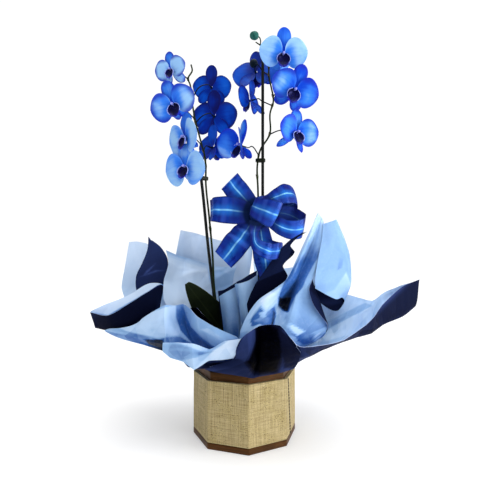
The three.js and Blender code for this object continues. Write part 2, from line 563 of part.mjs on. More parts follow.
const PAPER = {
  // left wing, a gutter: near edge, bottom, far wall, far edge, each from the tip to the pot
  paper_left_wing: [
    [
      [-247, -30, 202], [-210, -52, 200], [-173, -62, 220], [-145, -66, 237], [-123, -62, 246],
      [-84, -50, 196], spot('b', -62, CLEAR), spot('b', -62, TUCK),
    ],
    [
      [-243, -20, 175], [-210, -36, 173], [-172, -46, 184], [-143, -50, 196], [-119, -46, 189],
      [-85, -44, 157], spot('b', -84, CLEAR), spot('b', -84, TUCK),
    ],
    [
      [-253, -4, 183], [-221, -6, 178], [-184, -6, 189], [-154, -8, 203], [-124, -10, 190],
      [-87, -10, 147], spot('b', -100, CLEAR), spot('b', -100, TUCK),
    ],
    [
      [-256, -8, 201], [-235, 14, 212], [-207, 22, 223], [-165, 20, 246], [-134, 6, 242],
      [-88, -2, 189], spot('b', -114, CLEAR), spot('b', -114, TUCK),
    ],
  ],
  // navy corner that curls over behind the left wing
  paper_left_curl: [
    ...tucked('d', -108, -122, 4),
    [[-165, 20, 207], [-154, 18, 202], [-140, 12, 199], [-127, 6, 198]],
    [[-193, 36, 233], [-174, 30, 227], [-155, 22, 224], [-131, 10, 232]],
    [[-194, 38, 256], [-174, 28, 262], [-152, 18, 260], [-131, 10, 261]],
    [[-184, 40, 283], [-169, 28, 288], [-150, 18, 290], [-133, 14, 288]],
    [[-176, 42, 310], [-167, 34, 311], [-156, 28, 311], [-147, 24, 309]],
    [[-175, 44, 329], [-171, 42, 326], [-168, 40, 323], [-164, 38, 321]],
  ],
  paper_back_left: [
    ...tucked('d', -132, -150, 4),
    [[-213, 50, 203], [-188, 52, 192], [-159, 52, 185], [-134, 54, 181]],
    [[-228, 62, 235], [-195, 66, 239], [-163, 70, 246], [-138, 74, 250]],
    [[-222, 66, 283], [-201, 72, 285], [-180, 76, 284], [-150, 80, 276]],
    [[-217, 70, 321], [-204, 76, 322], [-188, 80, 318], [-166, 84, 303]],
  ],
  paper_inner_left: [
    ...tucked('a', -104, -168, 5),
    [[-86, -18, 156], [-80, -14, 160], [-70, -2, 162], [-52, 34, 152], [-24, 56, 140]],
    [[-120, -22, 200], [-101, -20, 188], [-84, -10, 184], [-64, 24, 176], [-31, 50, 168]],
    [[-132, -18, 222], [-111, -12, 215], [-90, 8, 209], [-66, 34, 203], [-28, 50, 193]],
    [[-134, -6, 253], [-112, 14, 249], [-90, 36, 243], [-66, 46, 236], [-24, 58, 232]],
    [[-127, 0, 283], [-108, 36, 274], [-86, 50, 269], [-62, 58, 264], [-21, 66, 261]],
    [[-132, 4, 303], [-107, 42, 291], [-84, 54, 284], [-60, 62, 276], [-17, 70, 272]],
  ],
  paper_back_panel: [
    ...tucked('d', -154, -177, 4),
    [[-126, 72, 190], [-89, 78, 182], [-48, 82, 177], [-3, 84, 177]],
    [[-141, 88, 238], [-107, 96, 241], [-58, 102, 241], [5, 104, 241]],
    [[-136, 96, 291], [-105, 104, 296], [-50, 110, 296], [13, 112, 300]],
    [[-126, 100, 346], [-100, 108, 341], [-47, 114, 326], [13, 116, 332]],
  ],
  // pale sheet with a deep fold, low on the front left
  paper_left_front: [
    ...tucked('c', -104, -22, 6),
    [[-72, 14, 126], [-77, -6, 127], [-73, -32, 131], [-60, -52, 134], [-42, -66, 133], [-26, -72, 130]],
    [
      [-211, -50, 177], [-176, -62, 168], [-140, -74, 160], [-105, -84, 155], [-70, -80, 147],
      [-26, -84, 144],
    ],
    [
      [-206, -47, 180], [-168, -68, 179], [-131, -84, 176], [-99, -84, 171], [-67, -86, 160],
      [-20, -90, 155],
    ],
    [
      [-193, -48, 181], [-154, -74, 193], [-120, -94, 202], [-97, -80, 197], [-58, -86, 177],
      [-11, -94, 169],
    ],
    [
      [-186, -52, 181], [-139, -76, 205], [-109, -90, 220], [-96, -70, 219], [-57, -72, 194],
      [0, -90, 190],
    ],
  ],
  // pale corner that hangs over the rim
  paper_front_left: [
    [
      [-100, -92, 140], [-87, -96, 139], [-73, -100, 128], [-52, -98, 139], [-34, -102, 142],
      [-15, -106, 145],
    ],
    [
      [-109, -98, 148], [-89, -108, 152], [-65, -116, 151], [-46, -118, 157], [-27, -118, 159],
      [-10, -118, 160],
    ],
    [
      [-113, -100, 162], [-89, -108, 162], [-60, -118, 163], [-37, -120, 172], [-18, -122, 177],
      [-1, -122, 181],
    ],
    [
      [-103, -94, 155], [-85, -98, 154], [-59, -104, 155], [-36, -108, 162], [-16, -110, 167],
      [0, -110, 173],
    ],
    [[-82, -80, 128], [-68, -88, 128], [-52, -92, 131], [-34, -94, 134], [-18, -95, 138], [-6, -96, 142]],
    ...tucked('d', -58, -20, 6).reverse(),
  ],
  // two small rolls beside the stems, each a gutter that stands upright
  paper_roll_left: [
    [[-40, -36, 228], [-29, -42, 235], [-18, -38, 241], [-9, -28, 247]],
    [[-36, -38, 203], [-26, -46, 209], [-13, -42, 215], [-4, -32, 223]],
    [[-30, -48, 160], [-24, -53, 160], [-15, -52, 162], [-8, -46, 166]],
    [[-24, -46, 114], [-20, -48, 114], [-16, -48, 114], [-12, -46, 114]],
    [[-24, -42, ON_BARK], [-20, -43, ON_BARK], [-16, -43, ON_BARK], [-12, -42, ON_BARK]],
    [[-24, -37, 114], [-20, -38, 114], [-16, -38, 114], [-12, -36, 114]],
    [[-30, -38, 160], [-24, -40, 160], [-15, -38, 162], [-8, -34, 166]],
    [[-40, -26, 206], [-33, -26, 210], [-20, -24, 216], [-9, -20, 222]],
    [[-43, -26, 236], [-35, -24, 237], [-24, -20, 243], [-14, -18, 249]],
  ],
  paper_roll_right: [
    [[-15, -50, 248], [-5, -56, 250], [7, -54, 254], [21, -44, 263]],
    [[-10, -50, 222], [0, -57, 226], [10, -55, 230], [20, -46, 239]],
    [[-2, -58, 171], [4, -62, 175], [10, -60, 181], [16, -54, 189]],
    [[-6, -50, 114], [-2, -52, 114], [3, -52, 114], [8, -50, 114]],
    [[-6, -46, ON_BARK], [-2, -47, ON_BARK], [3, -47, ON_BARK], [8, -46, ON_BARK]],
    [[-6, -41, 114], [-2, -42, 114], [3, -42, 114], [8, -40, 114]],
    [[-2, -48, 171], [4, -48, 175], [10, -46, 181], [15, -42, 189]],
    [[-9, -42, 222], [0, -42, 226], [8, -40, 232], [17, -36, 240]],
    [[-13, -42, 251], [-4, -38, 255], [7, -36, 262], [20, -36, 269]],
  ],
  // navy back wall of the middle roll
  paper_centre: [
    ...tucked('a', 8, 28, 4),
    [[9, -84, 192], [20, -82, 197], [35, -78, 202], [53, -72, 214]],
    [[7, -72, 236], [21, -72, 240], [38, -72, 246], [59, -70, 254]],
    [[18, -66, 259], [33, -66, 267], [49, -66, 273], [68, -64, 282]],
    [[48, -60, 290], [54, -61, 296], [63, -61, 300], [74, -60, 305]],
    [[79, -56, 330], [82, -57, 330], [85, -57, 329], [91, -56, 328]],
  ],
  // tall sheet: its free left edge sweeps from the front of the pot up to the tip
  paper_tall_sheet: [
    ...tucked('b', 8, 64, 6),
    [[-5, -100, 183], [22, -107, 187], [50, -108, 182], [70, -106, 173], [92, -96, 176], [111, -80, 186]],
    [
      [7, -98, 202], [29, -106, 213], [50, -100, 214], [72, -88, 210], [93, -79, 209],
      [109.8, -67.8, 219.4],
    ],
    [[26, -92, 233], [45, -98, 241], [64, -88, 244], [84, -68, 244], [104, -60, 254], [118, -54, 262]],
    [[61, -82, 260], [72, -76, 268], [84, -62, 274], [98, -50, 281], [114, -44, 292], [128, -40, 304]],
    [[88, -44, 296], [98, -36, 302], [107, -34, 306], [115, -31, 311], [123, -28, 317], [131, -26, 322]],
    [[112, -14, 342], [117, -11, 352], [121, -9, 363], [124, -9, 357], [127, -9, 351], [129, -10, 347]],
  ],
  // cone that curls forward, from its tucked-under edge up to its tip
  paper_cone: [
    [[123, -34, 217], [136, -34, 211], [150, -30, 207], [159, -22, 216]],
    [[109, -76, 238], [123, -68, 230], [142, -54, 225], [162, -30, 228]],
    [[110, -76, 255], [126, -66, 249], [147, -50, 248], [172, -24, 249]],
    [[117, -62, 282], [131, -56, 282], [152, -42, 282], [174, -16, 281]],
    [[128, -38, 317], [137, -36, 317], [152, -27, 318], [168, -8, 314]],
    [[131, -16, 345], [137, -14, 347], [146, -10, 350], [153, -6, 353]],
  ],
  // right wing, a gutter like the left one: near edge, bottom, far wall, far edge, from the pot to the tip
  paper_right_wing: [
    [
      spot('c', 50, TUCK), spot('c', 50, CLEAR), [57, -80, 134], [60, -124, 176], [76, -128, 168],
      [106, -124, 170], [139, -114, 174], [174, -92, 191], [208, -64, 217], [255, -30, 245],
      [286, -16, 254],
    ],
    [
      spot('c', 66, TUCK), spot('c', 66, CLEAR), [64, -58, 125], [62, -100, 147], [82, -104, 150],
      [110, -100, 157], [145, -90, 164], [181, -74, 175], [218, -54, 187], [251, -32, 196],
      [277, -16, 209],
    ],
    [
      spot('c', 82, TUCK), spot('c', 82, CLEAR), [73, -32, 123], [77, -60, 127], [96, -68, 144],
      [123, -66, 156], [158, -54, 165], [193, -40, 178], [228, -26, 192], [256, -16, 202],
      [275, -10, 213],
    ],
    [
      spot('c', 98, TUCK), spot('c', 98, CLEAR), [74, -8, 126], [82, -28, 138], [105, -34, 164],
      [134, -28, 183], [168, -20, 191], [202, -12, 200], [233, -8, 215], [258, -8, 226],
      [276, -8, 233],
    ],
    [
      spot('c', 114, TUCK), spot('c', 114, CLEAR), [70, 24, 138], [94, 6, 176], [130, 0, 219],
      [168, 6, 229], [191, 8, 223], [216, 6, 217], [241, 2, 232], [259, -4, 243], [277, -10, 249],
    ],
  ],
  // navy sheet over the front rim
  paper_front: [
    ...tucked('d', -14, 38, 7),
    [
      [-46, -86, 125], [-33, -90, 122], [-13, -92, 119.5], [6, -93, 120], [26, -93, 121],
      [50, -90, 121], [72, -88, 124],
    ],
    [
      [-31, -104, 138], [-16, -110, 139], [-2, -114, 138], [14, -116, 140], [33, -114, 143],
      [56, -108, 144], [79, -100, 143],
    ],
    [
      [-13, -122, 149], [-5, -126, 158], [5, -129, 165], [17, -132, 168], [35, -132, 168],
      [54, -130, 163], [73, -124, 157],
    ],
    [
      [-8, -130, 165], [-2, -136, 180], [7, -138, 189], [18, -140, 196], [35, -140, 199],
      [48, -140, 194], [66, -138, 171],
    ],
  ],
  // sheets behind the plant
  paper_back: [
    ...tucked('d', -180, -226, 5),
    [[-14, 92, 150], [14, 98, 152], [45, 98, 152], [80, 88, 150], [104, 68, 150]],
    [[8, 126, 210], [28, 138, 205], [60, 140, 200], [100, 124, 205], [136, 96, 205]],
    [[16, 150, 262], [34, 166, 250], [66, 172, 238], [112, 152, 244], [156, 114, 262]],
    [[18, 162, 292], [40, 186, 282], [76, 194, 268], [122, 172, 276], [168, 126, 308]],
  ],
  paper_back_right: [
    ...tucked('d', 108, 130, 4),
    [[94, 24, 158], [94, 38, 156], [90, 50, 154], [84, 60, 152]],
    [[138, 30, 206], [142, 48, 202], [138, 64, 200], [126, 78, 200]],
    [[170, 36, 250], [180, 54, 250], [174, 76, 248], [156, 94, 240]],
    [[184, 38, 282], [202, 58, 290], [194, 84, 284], [170, 106, 268]],
  ],
};
for (const [name, rows] of Object.entries(PAPER)) {
  const acrossSteps = rows.length > 7 ? 1 : 2;
  const alongSteps = rows[2].length > 4 ? 1 : 2;
  addPiece(name, slab(smoothGrid(rows, acrossSteps, alongSteps), PAPER_THICK), 'paper');
}

// Ribbon: each strip is a smooth surface between its two edges, cut off where it meets the knot
const RIBBON = {
  bow_tail_upper: [
    [[-36, -44, 396], [-23, -42, 380], [-7, -38, 371], [7, -34, 364]],
    [[-11, -40, 422], [3, -40, 404], [11, -38, 388], [15, -34, 371]],
  ],
  bow_loop_left: [
    [
      [9, -40, 352], [-7, -50, 341], [-28, -56, 341], [-47, -54, 343], [-55, -44, 349],
      [-49, -32, 349], [-20, -26, 350], [7, -28, 356],
    ],
    [
      [10, -40, 367], [-4, -50, 380], [-27, -56, 382], [-48, -54, 380], [-55, -44, 376],
      [-49, -32, 378], [-20, -26, 377], [7, -28, 368],
    ],
  ],
  bow_tail_left: [
    [[-44, -52, 298], [-33, -50, 318], [-19, -46, 333], [6, -42, 349]],
    [[-20, -56, 274], [0, -56, 294], [13, -52, 316], [15, -43, 344]],
  ],
  bow_loop_front: [
    [
      [27, -44, 357], [18, -58, 351], [9, -66, 353], [21, -72, 341], [40, -68, 334], [42, -54, 344],
      [34, -44, 357],
    ],
    [
      [31, -44, 370], [29, -58, 381], [21, -66, 376], [35, -72, 376], [56, -68, 368], [53, -54, 371],
      [37, -44, 367],
    ],
  ],
  bow_loop_upper_right: [
    [
      [28, -38, 368], [46, -40, 369], [66, -38, 377], [83, -26, 381], [83, -14, 371], [61, -14, 368],
      [34, -26, 365],
    ],
    [
      [24, -38, 377], [37, -40, 391], [58, -38, 405], [73, -26, 407], [86, -14, 396], [68, -14, 381],
      [34, -26, 373],
    ],
  ],
  bow_loop_right: [
    [
      [34, -40, 352], [46, -46, 330], [66, -50, 319], [84, -44, 320], [95, -32, 329], [84, -20, 336],
      [38, -28, 355],
    ],
    [
      [35, -40, 359], [51, -46, 359], [72, -50, 352], [90, -44, 353], [99, -32, 361], [82, -20, 362],
      [38, -28, 361],
    ],
  ],
  bow_loop_lower: [
    [
      [15, -46, 346], [11, -60, 322], [16, -74, 297], [36, -78, 286], [60, -74, 286], [68, -70, 307],
      [46, -48, 339], [29, -40, 350],
    ],
    [
      [24, -46, 346], [20, -60, 328], [27, -74, 315], [39, -76, 311], [58, -72, 314], [60, -66, 329],
      [45, -48, 347], [31, -40, 355],
    ],
  ],
  bow_tail_lower: [
    [[19, -40, 351], [15, -46, 316], [15, -48, 291], [24, -50, 265]],
    [[27, -40, 350], [41, -46, 319], [50, -48, 293], [47, -50, 265]],
  ],
};
const KNOT = { x: 21, y: -37, z: 359, rx: 12, ry: 9.5, rz: 13 };
const TIE = { x: 26, y: -12, rx: 11, ry: 19, thick: 1, bottom: 353, height: 11 };

const largestPiece = (solid) => solid.decompose().sort((a, b) => b.volume() - a.volume())[0];

// The band that ties the bow to the right stem and its stake, optionally grown all round by a clearance
function tieBand({ x, y, rx, ry, thick, bottom, height }, grow = 0) {
  const shape = new THREE.Shape();
  shape.absellipse(x, y, rx + grow, ry + grow, 0, 2 * Math.PI, false, 0);
  const hole = new THREE.Path();
  hole.absellipse(x, y, rx - thick - grow, ry - thick - grow, 0, 2 * Math.PI, true, 0);
  shape.holes.push(hole);
  const depth = height + 2 * grow;
  const band = new THREE.ExtrudeGeometry(shape, { depth, bevelEnabled: false, curveSegments: 10 });
  band.translate(0, 0, bottom - grow);
  return band;
}

const knotHollow = toSolid(egg(KNOT, GAP, 14, 8));
for (const [name, edges] of Object.entries(RIBBON)) {
  const strip = toSolid(slab(smoothGrid(edges, 1, 2), RIBBON_THICK)).subtract(knotHollow);
  addPiece(name, toGeometry(largestPiece(strip)), 'ribbon');
}
const knot = toSolid(egg(KNOT, 0, 14, 8)).subtract(toSolid(tieBand(TIE, GAP)));
addPiece('bow_knot', toGeometry(largestPiece(knot)), 'ribbon');
addPiece('bow_tie', tieBand(TIE), 'ribbon');

export default model;
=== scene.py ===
# %% [markdown]
# # A moth orchid in a wrapped pot
# The object is a potted moth orchid as a florist sells it: an eight-sided pot of wood and jute, an orchid
# with two staked flower spikes, sheets of two-sided paper gathered round it, and a ribbon bow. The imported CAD
# model gives the place of every piece. This file makes the looks: finer shapes in the same places, and
# procedural finishes. Lengths are written in millimetres, as in the part's source, and MM turns them to
# metres. Where a text holds points, each one is x,y,z.

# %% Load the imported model
import math
import random

import bpy
import numpy as np
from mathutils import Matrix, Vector, noise


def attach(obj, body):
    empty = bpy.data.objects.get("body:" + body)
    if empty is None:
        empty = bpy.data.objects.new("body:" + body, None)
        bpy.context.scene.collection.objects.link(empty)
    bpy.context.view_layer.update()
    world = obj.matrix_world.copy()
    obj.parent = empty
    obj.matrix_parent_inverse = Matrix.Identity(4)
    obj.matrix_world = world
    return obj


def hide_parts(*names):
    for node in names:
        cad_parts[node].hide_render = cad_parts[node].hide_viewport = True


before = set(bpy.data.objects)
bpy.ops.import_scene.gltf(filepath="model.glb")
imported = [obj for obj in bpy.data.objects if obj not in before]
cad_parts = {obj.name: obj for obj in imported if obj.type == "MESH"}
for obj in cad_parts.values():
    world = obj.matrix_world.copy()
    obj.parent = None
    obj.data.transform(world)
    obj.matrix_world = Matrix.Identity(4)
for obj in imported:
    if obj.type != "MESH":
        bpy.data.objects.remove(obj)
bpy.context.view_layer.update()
MM = 0.001


def show(name, data):
    """A new object in the scene."""
    made = bpy.data.objects.new(name, data)
    bpy.context.scene.collection.objects.link(made)
    return made


print("CAD nodes:", len(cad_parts))

# %% [markdown]
# ## The camera
# The photograph is taken level, a little above the paper, from about 63 cm. A level camera with a small
# upward shift keeps the pot's sides upright, as they are in the picture. Tilting it would make them lean.

# %% Camera
FRAME_PX = 500  # side of the square picture
FOCAL_PX = 375
HORIZON_PX = 266  # row of the picture at the camera's own height
SENSOR = 36
EYE = (8.7, -630, 276)

camera_data = bpy.data.cameras.new("camera")
camera_data.sensor_width = SENSOR
camera_data.lens = SENSOR * FOCAL_PX / FRAME_PX
camera_data.shift_y = (HORIZON_PX - FRAME_PX / 2) / FRAME_PX
camera = show("camera", camera_data)
camera.location = [value * MM for value in EYE]
camera.rotation_euler = (math.radians(90), 0, 0)
bpy.context.scene.camera = camera
print("lens", camera_data.lens, "mm, shift", camera_data.shift_y)

# %% [markdown]
# ## Floor and light
# The picture is a studio shot on white: a large soft light overhead, and a light on the right that leaves the
# pot's left faces darker. A sun lamp with a wide angle lights the floor evenly to the horizon, with soft
# shadows, which an area lamp near the object can't do. Three softboxes light the front and the sides, and add
# the glints on ribbon and petals. The world fills the shadows with a weaker light than the white that the
# camera sees behind the object, and the floor glows a little itself, as a lit studio sweep does.

# %% Floor, lights and world
def linear(red, green, blue):
    """The linear colour of a screen colour from 0 to 255."""
    def one(value):
        value /= 255
        return value / 12.92 if value <= 0.04045 else ((value + 0.055) / 1.055) ** 2.4
    return (one(red), one(green), one(blue), 1.0)


def add_light(name, kind, place, target, power, **settings):
    """A lamp at a place in metres that points at a target."""
    data = bpy.data.lights.new(name, kind)
    for setting, value in dict(settings, energy=power).items():
        setattr(data, setting, value)
    lamp = show(name, data)
    lamp.location = place
    lamp.rotation_euler = (Vector(target) - Vector(place)).to_track_quat("-Z", "Y").to_euler()


WHITE = (1, 1, 1, 1)
FILL, BACKDROP = 0.3, 1.05
add_light("overhead light", "SUN", (0.2, -0.24, 1.9), (0, 0, 0), 2.6, angle=math.radians(62))
add_light("right softbox", "AREA", (1.5, -0.45, 0.4), (0, 0, 0.2), 17, shape="DISK", size=0.9)
add_light("front softbox", "AREA", (1.4, -2.0, 1.1), (0, 0, 0.3), 9, shape="DISK", size=1.6)
add_light("left softbox", "AREA", (-1.2, -0.9, 1.2), (0, 0, 0.4), 0.6, shape="DISK", size=0.5)

world = bpy.data.worlds.new("white studio")
world.use_nodes = True
bpy.context.scene.world = world
world_nodes, world_links = world.node_tree.nodes, world.node_tree.links
rays, choice = world_nodes.new("ShaderNodeLightPath"), world_nodes.new("ShaderNodeMixShader")
world_links.new(rays.outputs["Is Camera Ray"], choice.inputs[0])
backgrounds = (world_nodes["Background"], FILL), (world_nodes.new("ShaderNodeBackground"), BACKDROP)
for slot, (background, strength) in enumerate(backgrounds, 1):
    background.inputs["Color"].default_value = WHITE
    background.inputs["Strength"].default_value = strength
    world_links.new(background.outputs[0], choice.inputs[slot])
world_links.new(choice.outputs[0], world_nodes["World Output"].inputs["Surface"])
bpy.context.scene.view_settings.view_transform = "Standard"

# %% [markdown]
# ## Shader maths
# A procedural finish is a chain of nodes. Written as nodes it is hard to read, so `Level` wraps a socket and
# lets a finish be written as an expression: `grain * 0.5 + 1` adds its Math nodes by itself. `Finish` is one
# material, and its `node` method makes any other node: settings first, then the inputs. `coats` lays colours
# over each other, each through a mask. `mark` reads a number that a piece carries on its points, which is how
# a shape tells its finish where its colour is deep, and where painted light and shade go.

# %% Level
class Level:
    """A number that changes over a surface. Arithmetic on it adds Math nodes."""

    def __init__(self, finish, socket):
        self.finish, self.socket = finish, socket

    def math(self, operation, *values):
        return self.finish.node("ShaderNodeMath", {"operation": operation}, dict(enumerate(values)))

    def __rsub__(self, other):
        return self.math("SUBTRACT", other, self)

    def step(self, low, high):
        """0 below low, 1 above high, and smooth in between."""
        settings = {"interpolation_type": "SMOOTHSTEP"}
        return self.finish.node("ShaderNodeMapRange", settings, {"Value": self, 1: low, 2: high})


def math_method(operation):
    """A method that adds one Math node to a level."""
    return lambda level, *others: level.math(operation, level, *others)


METHODS = {"__add__": "ADD", "__radd__": "ADD", "__sub__": "SUBTRACT", "__mul__": "MULTIPLY",
           "__rmul__": "MULTIPLY", "__abs__": "ABSOLUTE", "floor": "FLOOR", "sine": "SINE",
           "above": "MAXIMUM"}
for method, operation in METHODS.items():
    setattr(Level, method, math_method(operation))
print("methods of a level:", *METHODS)

# %% Finish
class Finish:
    """One procedural material. Constants go straight to the shader's own sockets."""

    def __init__(self, name, **constants):
        self.material = bpy.data.materials.new(name)
        self.material.use_nodes = True
        self.nodes, self.links = self.material.node_tree.nodes, self.material.node_tree.links
        self.shader = self.nodes["Principled BSDF"]
        for socket, value in constants.items():
            self.shader.inputs[socket.replace("_", " ")].default_value = value

    def feed(self, socket, value):
        if isinstance(value, Level):
            self.links.new(value.socket, socket)
        else:
            socket.default_value = value

    def node(self, kind, settings=None, inputs=None, output=0):
        made = self.nodes.new(kind)
        for key, value in (settings or {}).items():
            setattr(made, key, value)
        for key, value in (inputs or {}).items():
            self.feed(made.inputs[key], value)
        return Level(self, made.outputs[output])

    def place(self):
        return self.node("ShaderNodeTexCoord", output="Object")

    def uv(self):
        return self.node("ShaderNodeUVMap", {"uv_map": "pattern"})

    def mark(self, name):
        return self.node("ShaderNodeAttribute", {"attribute_name": name}, output="Fac")

    def parts(self, vector):
        split = self.nodes.new("ShaderNodeSeparateXYZ")
        self.feed(split.inputs[0], vector)
        return [Level(self, socket) for socket in split.outputs]

    def stretch(self, vector, factors):
        return self.node("ShaderNodeVectorMath", {"operation": "MULTIPLY"}, {0: vector, 1: factors})

    def grain(self, place, scales, detail=2.0, roughness=0.5, distortion=0.0):
        """Noise from 0 to 1, as fine along each axis as its scale. One scale may stand for all three."""
        scales = scales if isinstance(scales, tuple) else (scales,) * 3
        return self.node("ShaderNodeTexNoise", None,
                         {"Vector": self.stretch(place, scales), "Scale": 1.0, "Detail": detail,
                          "Roughness": roughness, "Distortion": distortion})

    def mix(self, factor, first, second):
        inputs = {0: factor, 6: first, 7: second}
        return self.node("ShaderNodeMix", {"data_type": "RGBA"}, inputs, output=2)

    def coats(self, first, *layers):
        """The colour: a first one, then others over it, each through its mask, all as screen colours."""
        colour = linear(*first)
        for mask, shade in layers:
            colour = self.mix(mask, colour, linear(*shade))
        self.feed(self.shader.inputs["Base Color"], colour)

    def rough(self, value):
        self.feed(self.shader.inputs["Roughness"], value)

    def bump(self, height, depth):
        """Relief of a height from 0 to 1, depth millimetres deep."""
        made = self.node("ShaderNodeBump", None, {"Strength": 1.0, "Distance": depth * MM, "Height": height})
        self.feed(self.shader.inputs["Normal"], made)

# %% Two-tone finishes and the floor
def two_tone(name, scales, dark, light, span=None, detail=2.0, fineness=0.5, depth=0.0, **constants):
    """A simple finish: two colours in one noise, its tone, which is also the relief if there is a depth."""
    finish = Finish(name, **constants)
    finish.tone = finish.grain(finish.place(), scales, detail, fineness)
    finish.coats(dark, (finish.tone.step(*span) if span else finish.tone, light))
    if depth:
        finish.bump(finish.tone, depth)
    return finish


FLOOR_SIDE = 60.0  # metres, to the horizon and beyond
FLOOR_DROP = 0.0002
floor_finish = two_tone("studio floor", 3, (219.2, 219.2, 219.2), (221.95, 221.95, 221.95), Roughness=0.9,
                        Specular_IOR_Level=0.1, Emission_Color=WHITE, Emission_Strength=0.35)
half_floor = FLOOR_SIDE / 2
corners = [(x * half_floor, y * half_floor, 0) for x, y in ((-1, -1), (1, -1), (1, 1), (-1, 1))]
floor_mesh = bpy.data.meshes.new("floor")
floor_mesh.from_pydata(corners, [], [(0, 1, 2, 3)])
floor_mesh.materials.append(floor_finish.material)
floor = show("floor", floor_mesh)
floor.location.z = -FLOOR_DROP
print("floor finish:", len(floor_finish.nodes), "nodes")

# %% [markdown]
# ## Skins
# Nearly every piece here is a grid of points with a thickness: a sheet of paper, a petal, a leaf, a strip of
# ribbon. `Skin` collects such closed shapes with a pattern map, a finish number for each face and marks for
# each point, and makes one mesh of them. `smooth` runs the same curve through rows of points as the part's
# source does, so that a finer surface lies where the CAD one lies.

# %% Curves and grids
def read_points(text):
    """Points from a text of x,y,z for each one."""
    return [[float(value) for value in place.split(",")] for place in text.split()]


def rows(across, text):
    """Rows of points, so many points across, from a text of x,y,z for each point."""
    return np.reshape(read_points(text), (-1, across, 3)).tolist()


def smooth(points, spacing, ease=1.0):
    """A smooth curve through points along the first axis, in steps of about spacing.

    With less ease it runs straighter between the points and turns more sharply at them."""
    points = np.asarray(points, float)
    spans = points[1:] - points[:-1]
    lengths = np.linalg.norm(spans, axis=-1, keepdims=True)
    tangents = np.empty_like(points)
    tangents[0], tangents[-1] = spans[0], spans[-1]
    ratio = lengths[1:] / lengths[:-1]
    tangents[1:-1] = spans[:-1] * ratio + spans[1:] / ratio
    tangents /= np.linalg.norm(tangents, axis=-1, keepdims=True)
    rows = []
    for i, span in enumerate(spans):
        steps = max(1, math.ceil(lengths[i].mean() / spacing))
        for t in np.arange(steps) / steps:
            curved = (span * t * t * (3 - 2 * t) + tangents[i] * lengths[i] * t * (1 - t) ** 2
                      - tangents[i + 1] * lengths[i] * t * t * (1 - t))
            rows.append(points[i] + curved * ease + span * t * (1 - ease))
    return np.array(rows + [points[-1]])


def smooth_surface(rows, spacing, ease=1.0):
    """A fine grid of points through rows of points."""
    along = smooth(np.swapaxes(np.array(rows, float), 0, 1), spacing, ease)
    return smooth(np.swapaxes(along, 0, 1), spacing, ease)


def normals_of(grid):
    """The direction in which each point of a grid faces: columns crossed with rows."""
    normal = np.cross(np.gradient(grid, axis=1), np.gradient(grid, axis=0))
    return normal / np.maximum(np.linalg.norm(normal, axis=-1, keepdims=True), 1e-12)


def run(steps):
    """How far along each point of a path lies, from the steps between its points."""
    return np.concatenate([[0], np.cumsum(steps)])


def run_lengths(grid):
    """Distance along the columns and along the rows of a grid, averaged."""
    return (run(np.linalg.norm(np.diff(grid, axis=1), axis=-1).mean(axis=0)),
            run(np.linalg.norm(np.diff(grid, axis=0), axis=-1).mean(axis=1)))


def round_turn(count):
    """Angles all round, without the last one, which is the first one again."""
    return np.linspace(0, 2 * math.pi, count + 1)[:-1]


def quads(numbers):
    """The faces of a grid of point numbers, each as four numbers."""
    corners = [numbers[:-1, :-1], numbers[:-1, 1:], numbers[1:, 1:], numbers[1:, :-1]]
    return np.stack(corners, -1).reshape(-1, 4)


def settle(piece, slot, *nodes):
    """Every piece rides on the one body and may stand for CAD nodes, which are hidden; the slot is not used."""
    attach(piece, "root")
    if nodes:
        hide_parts(*nodes)
    return piece

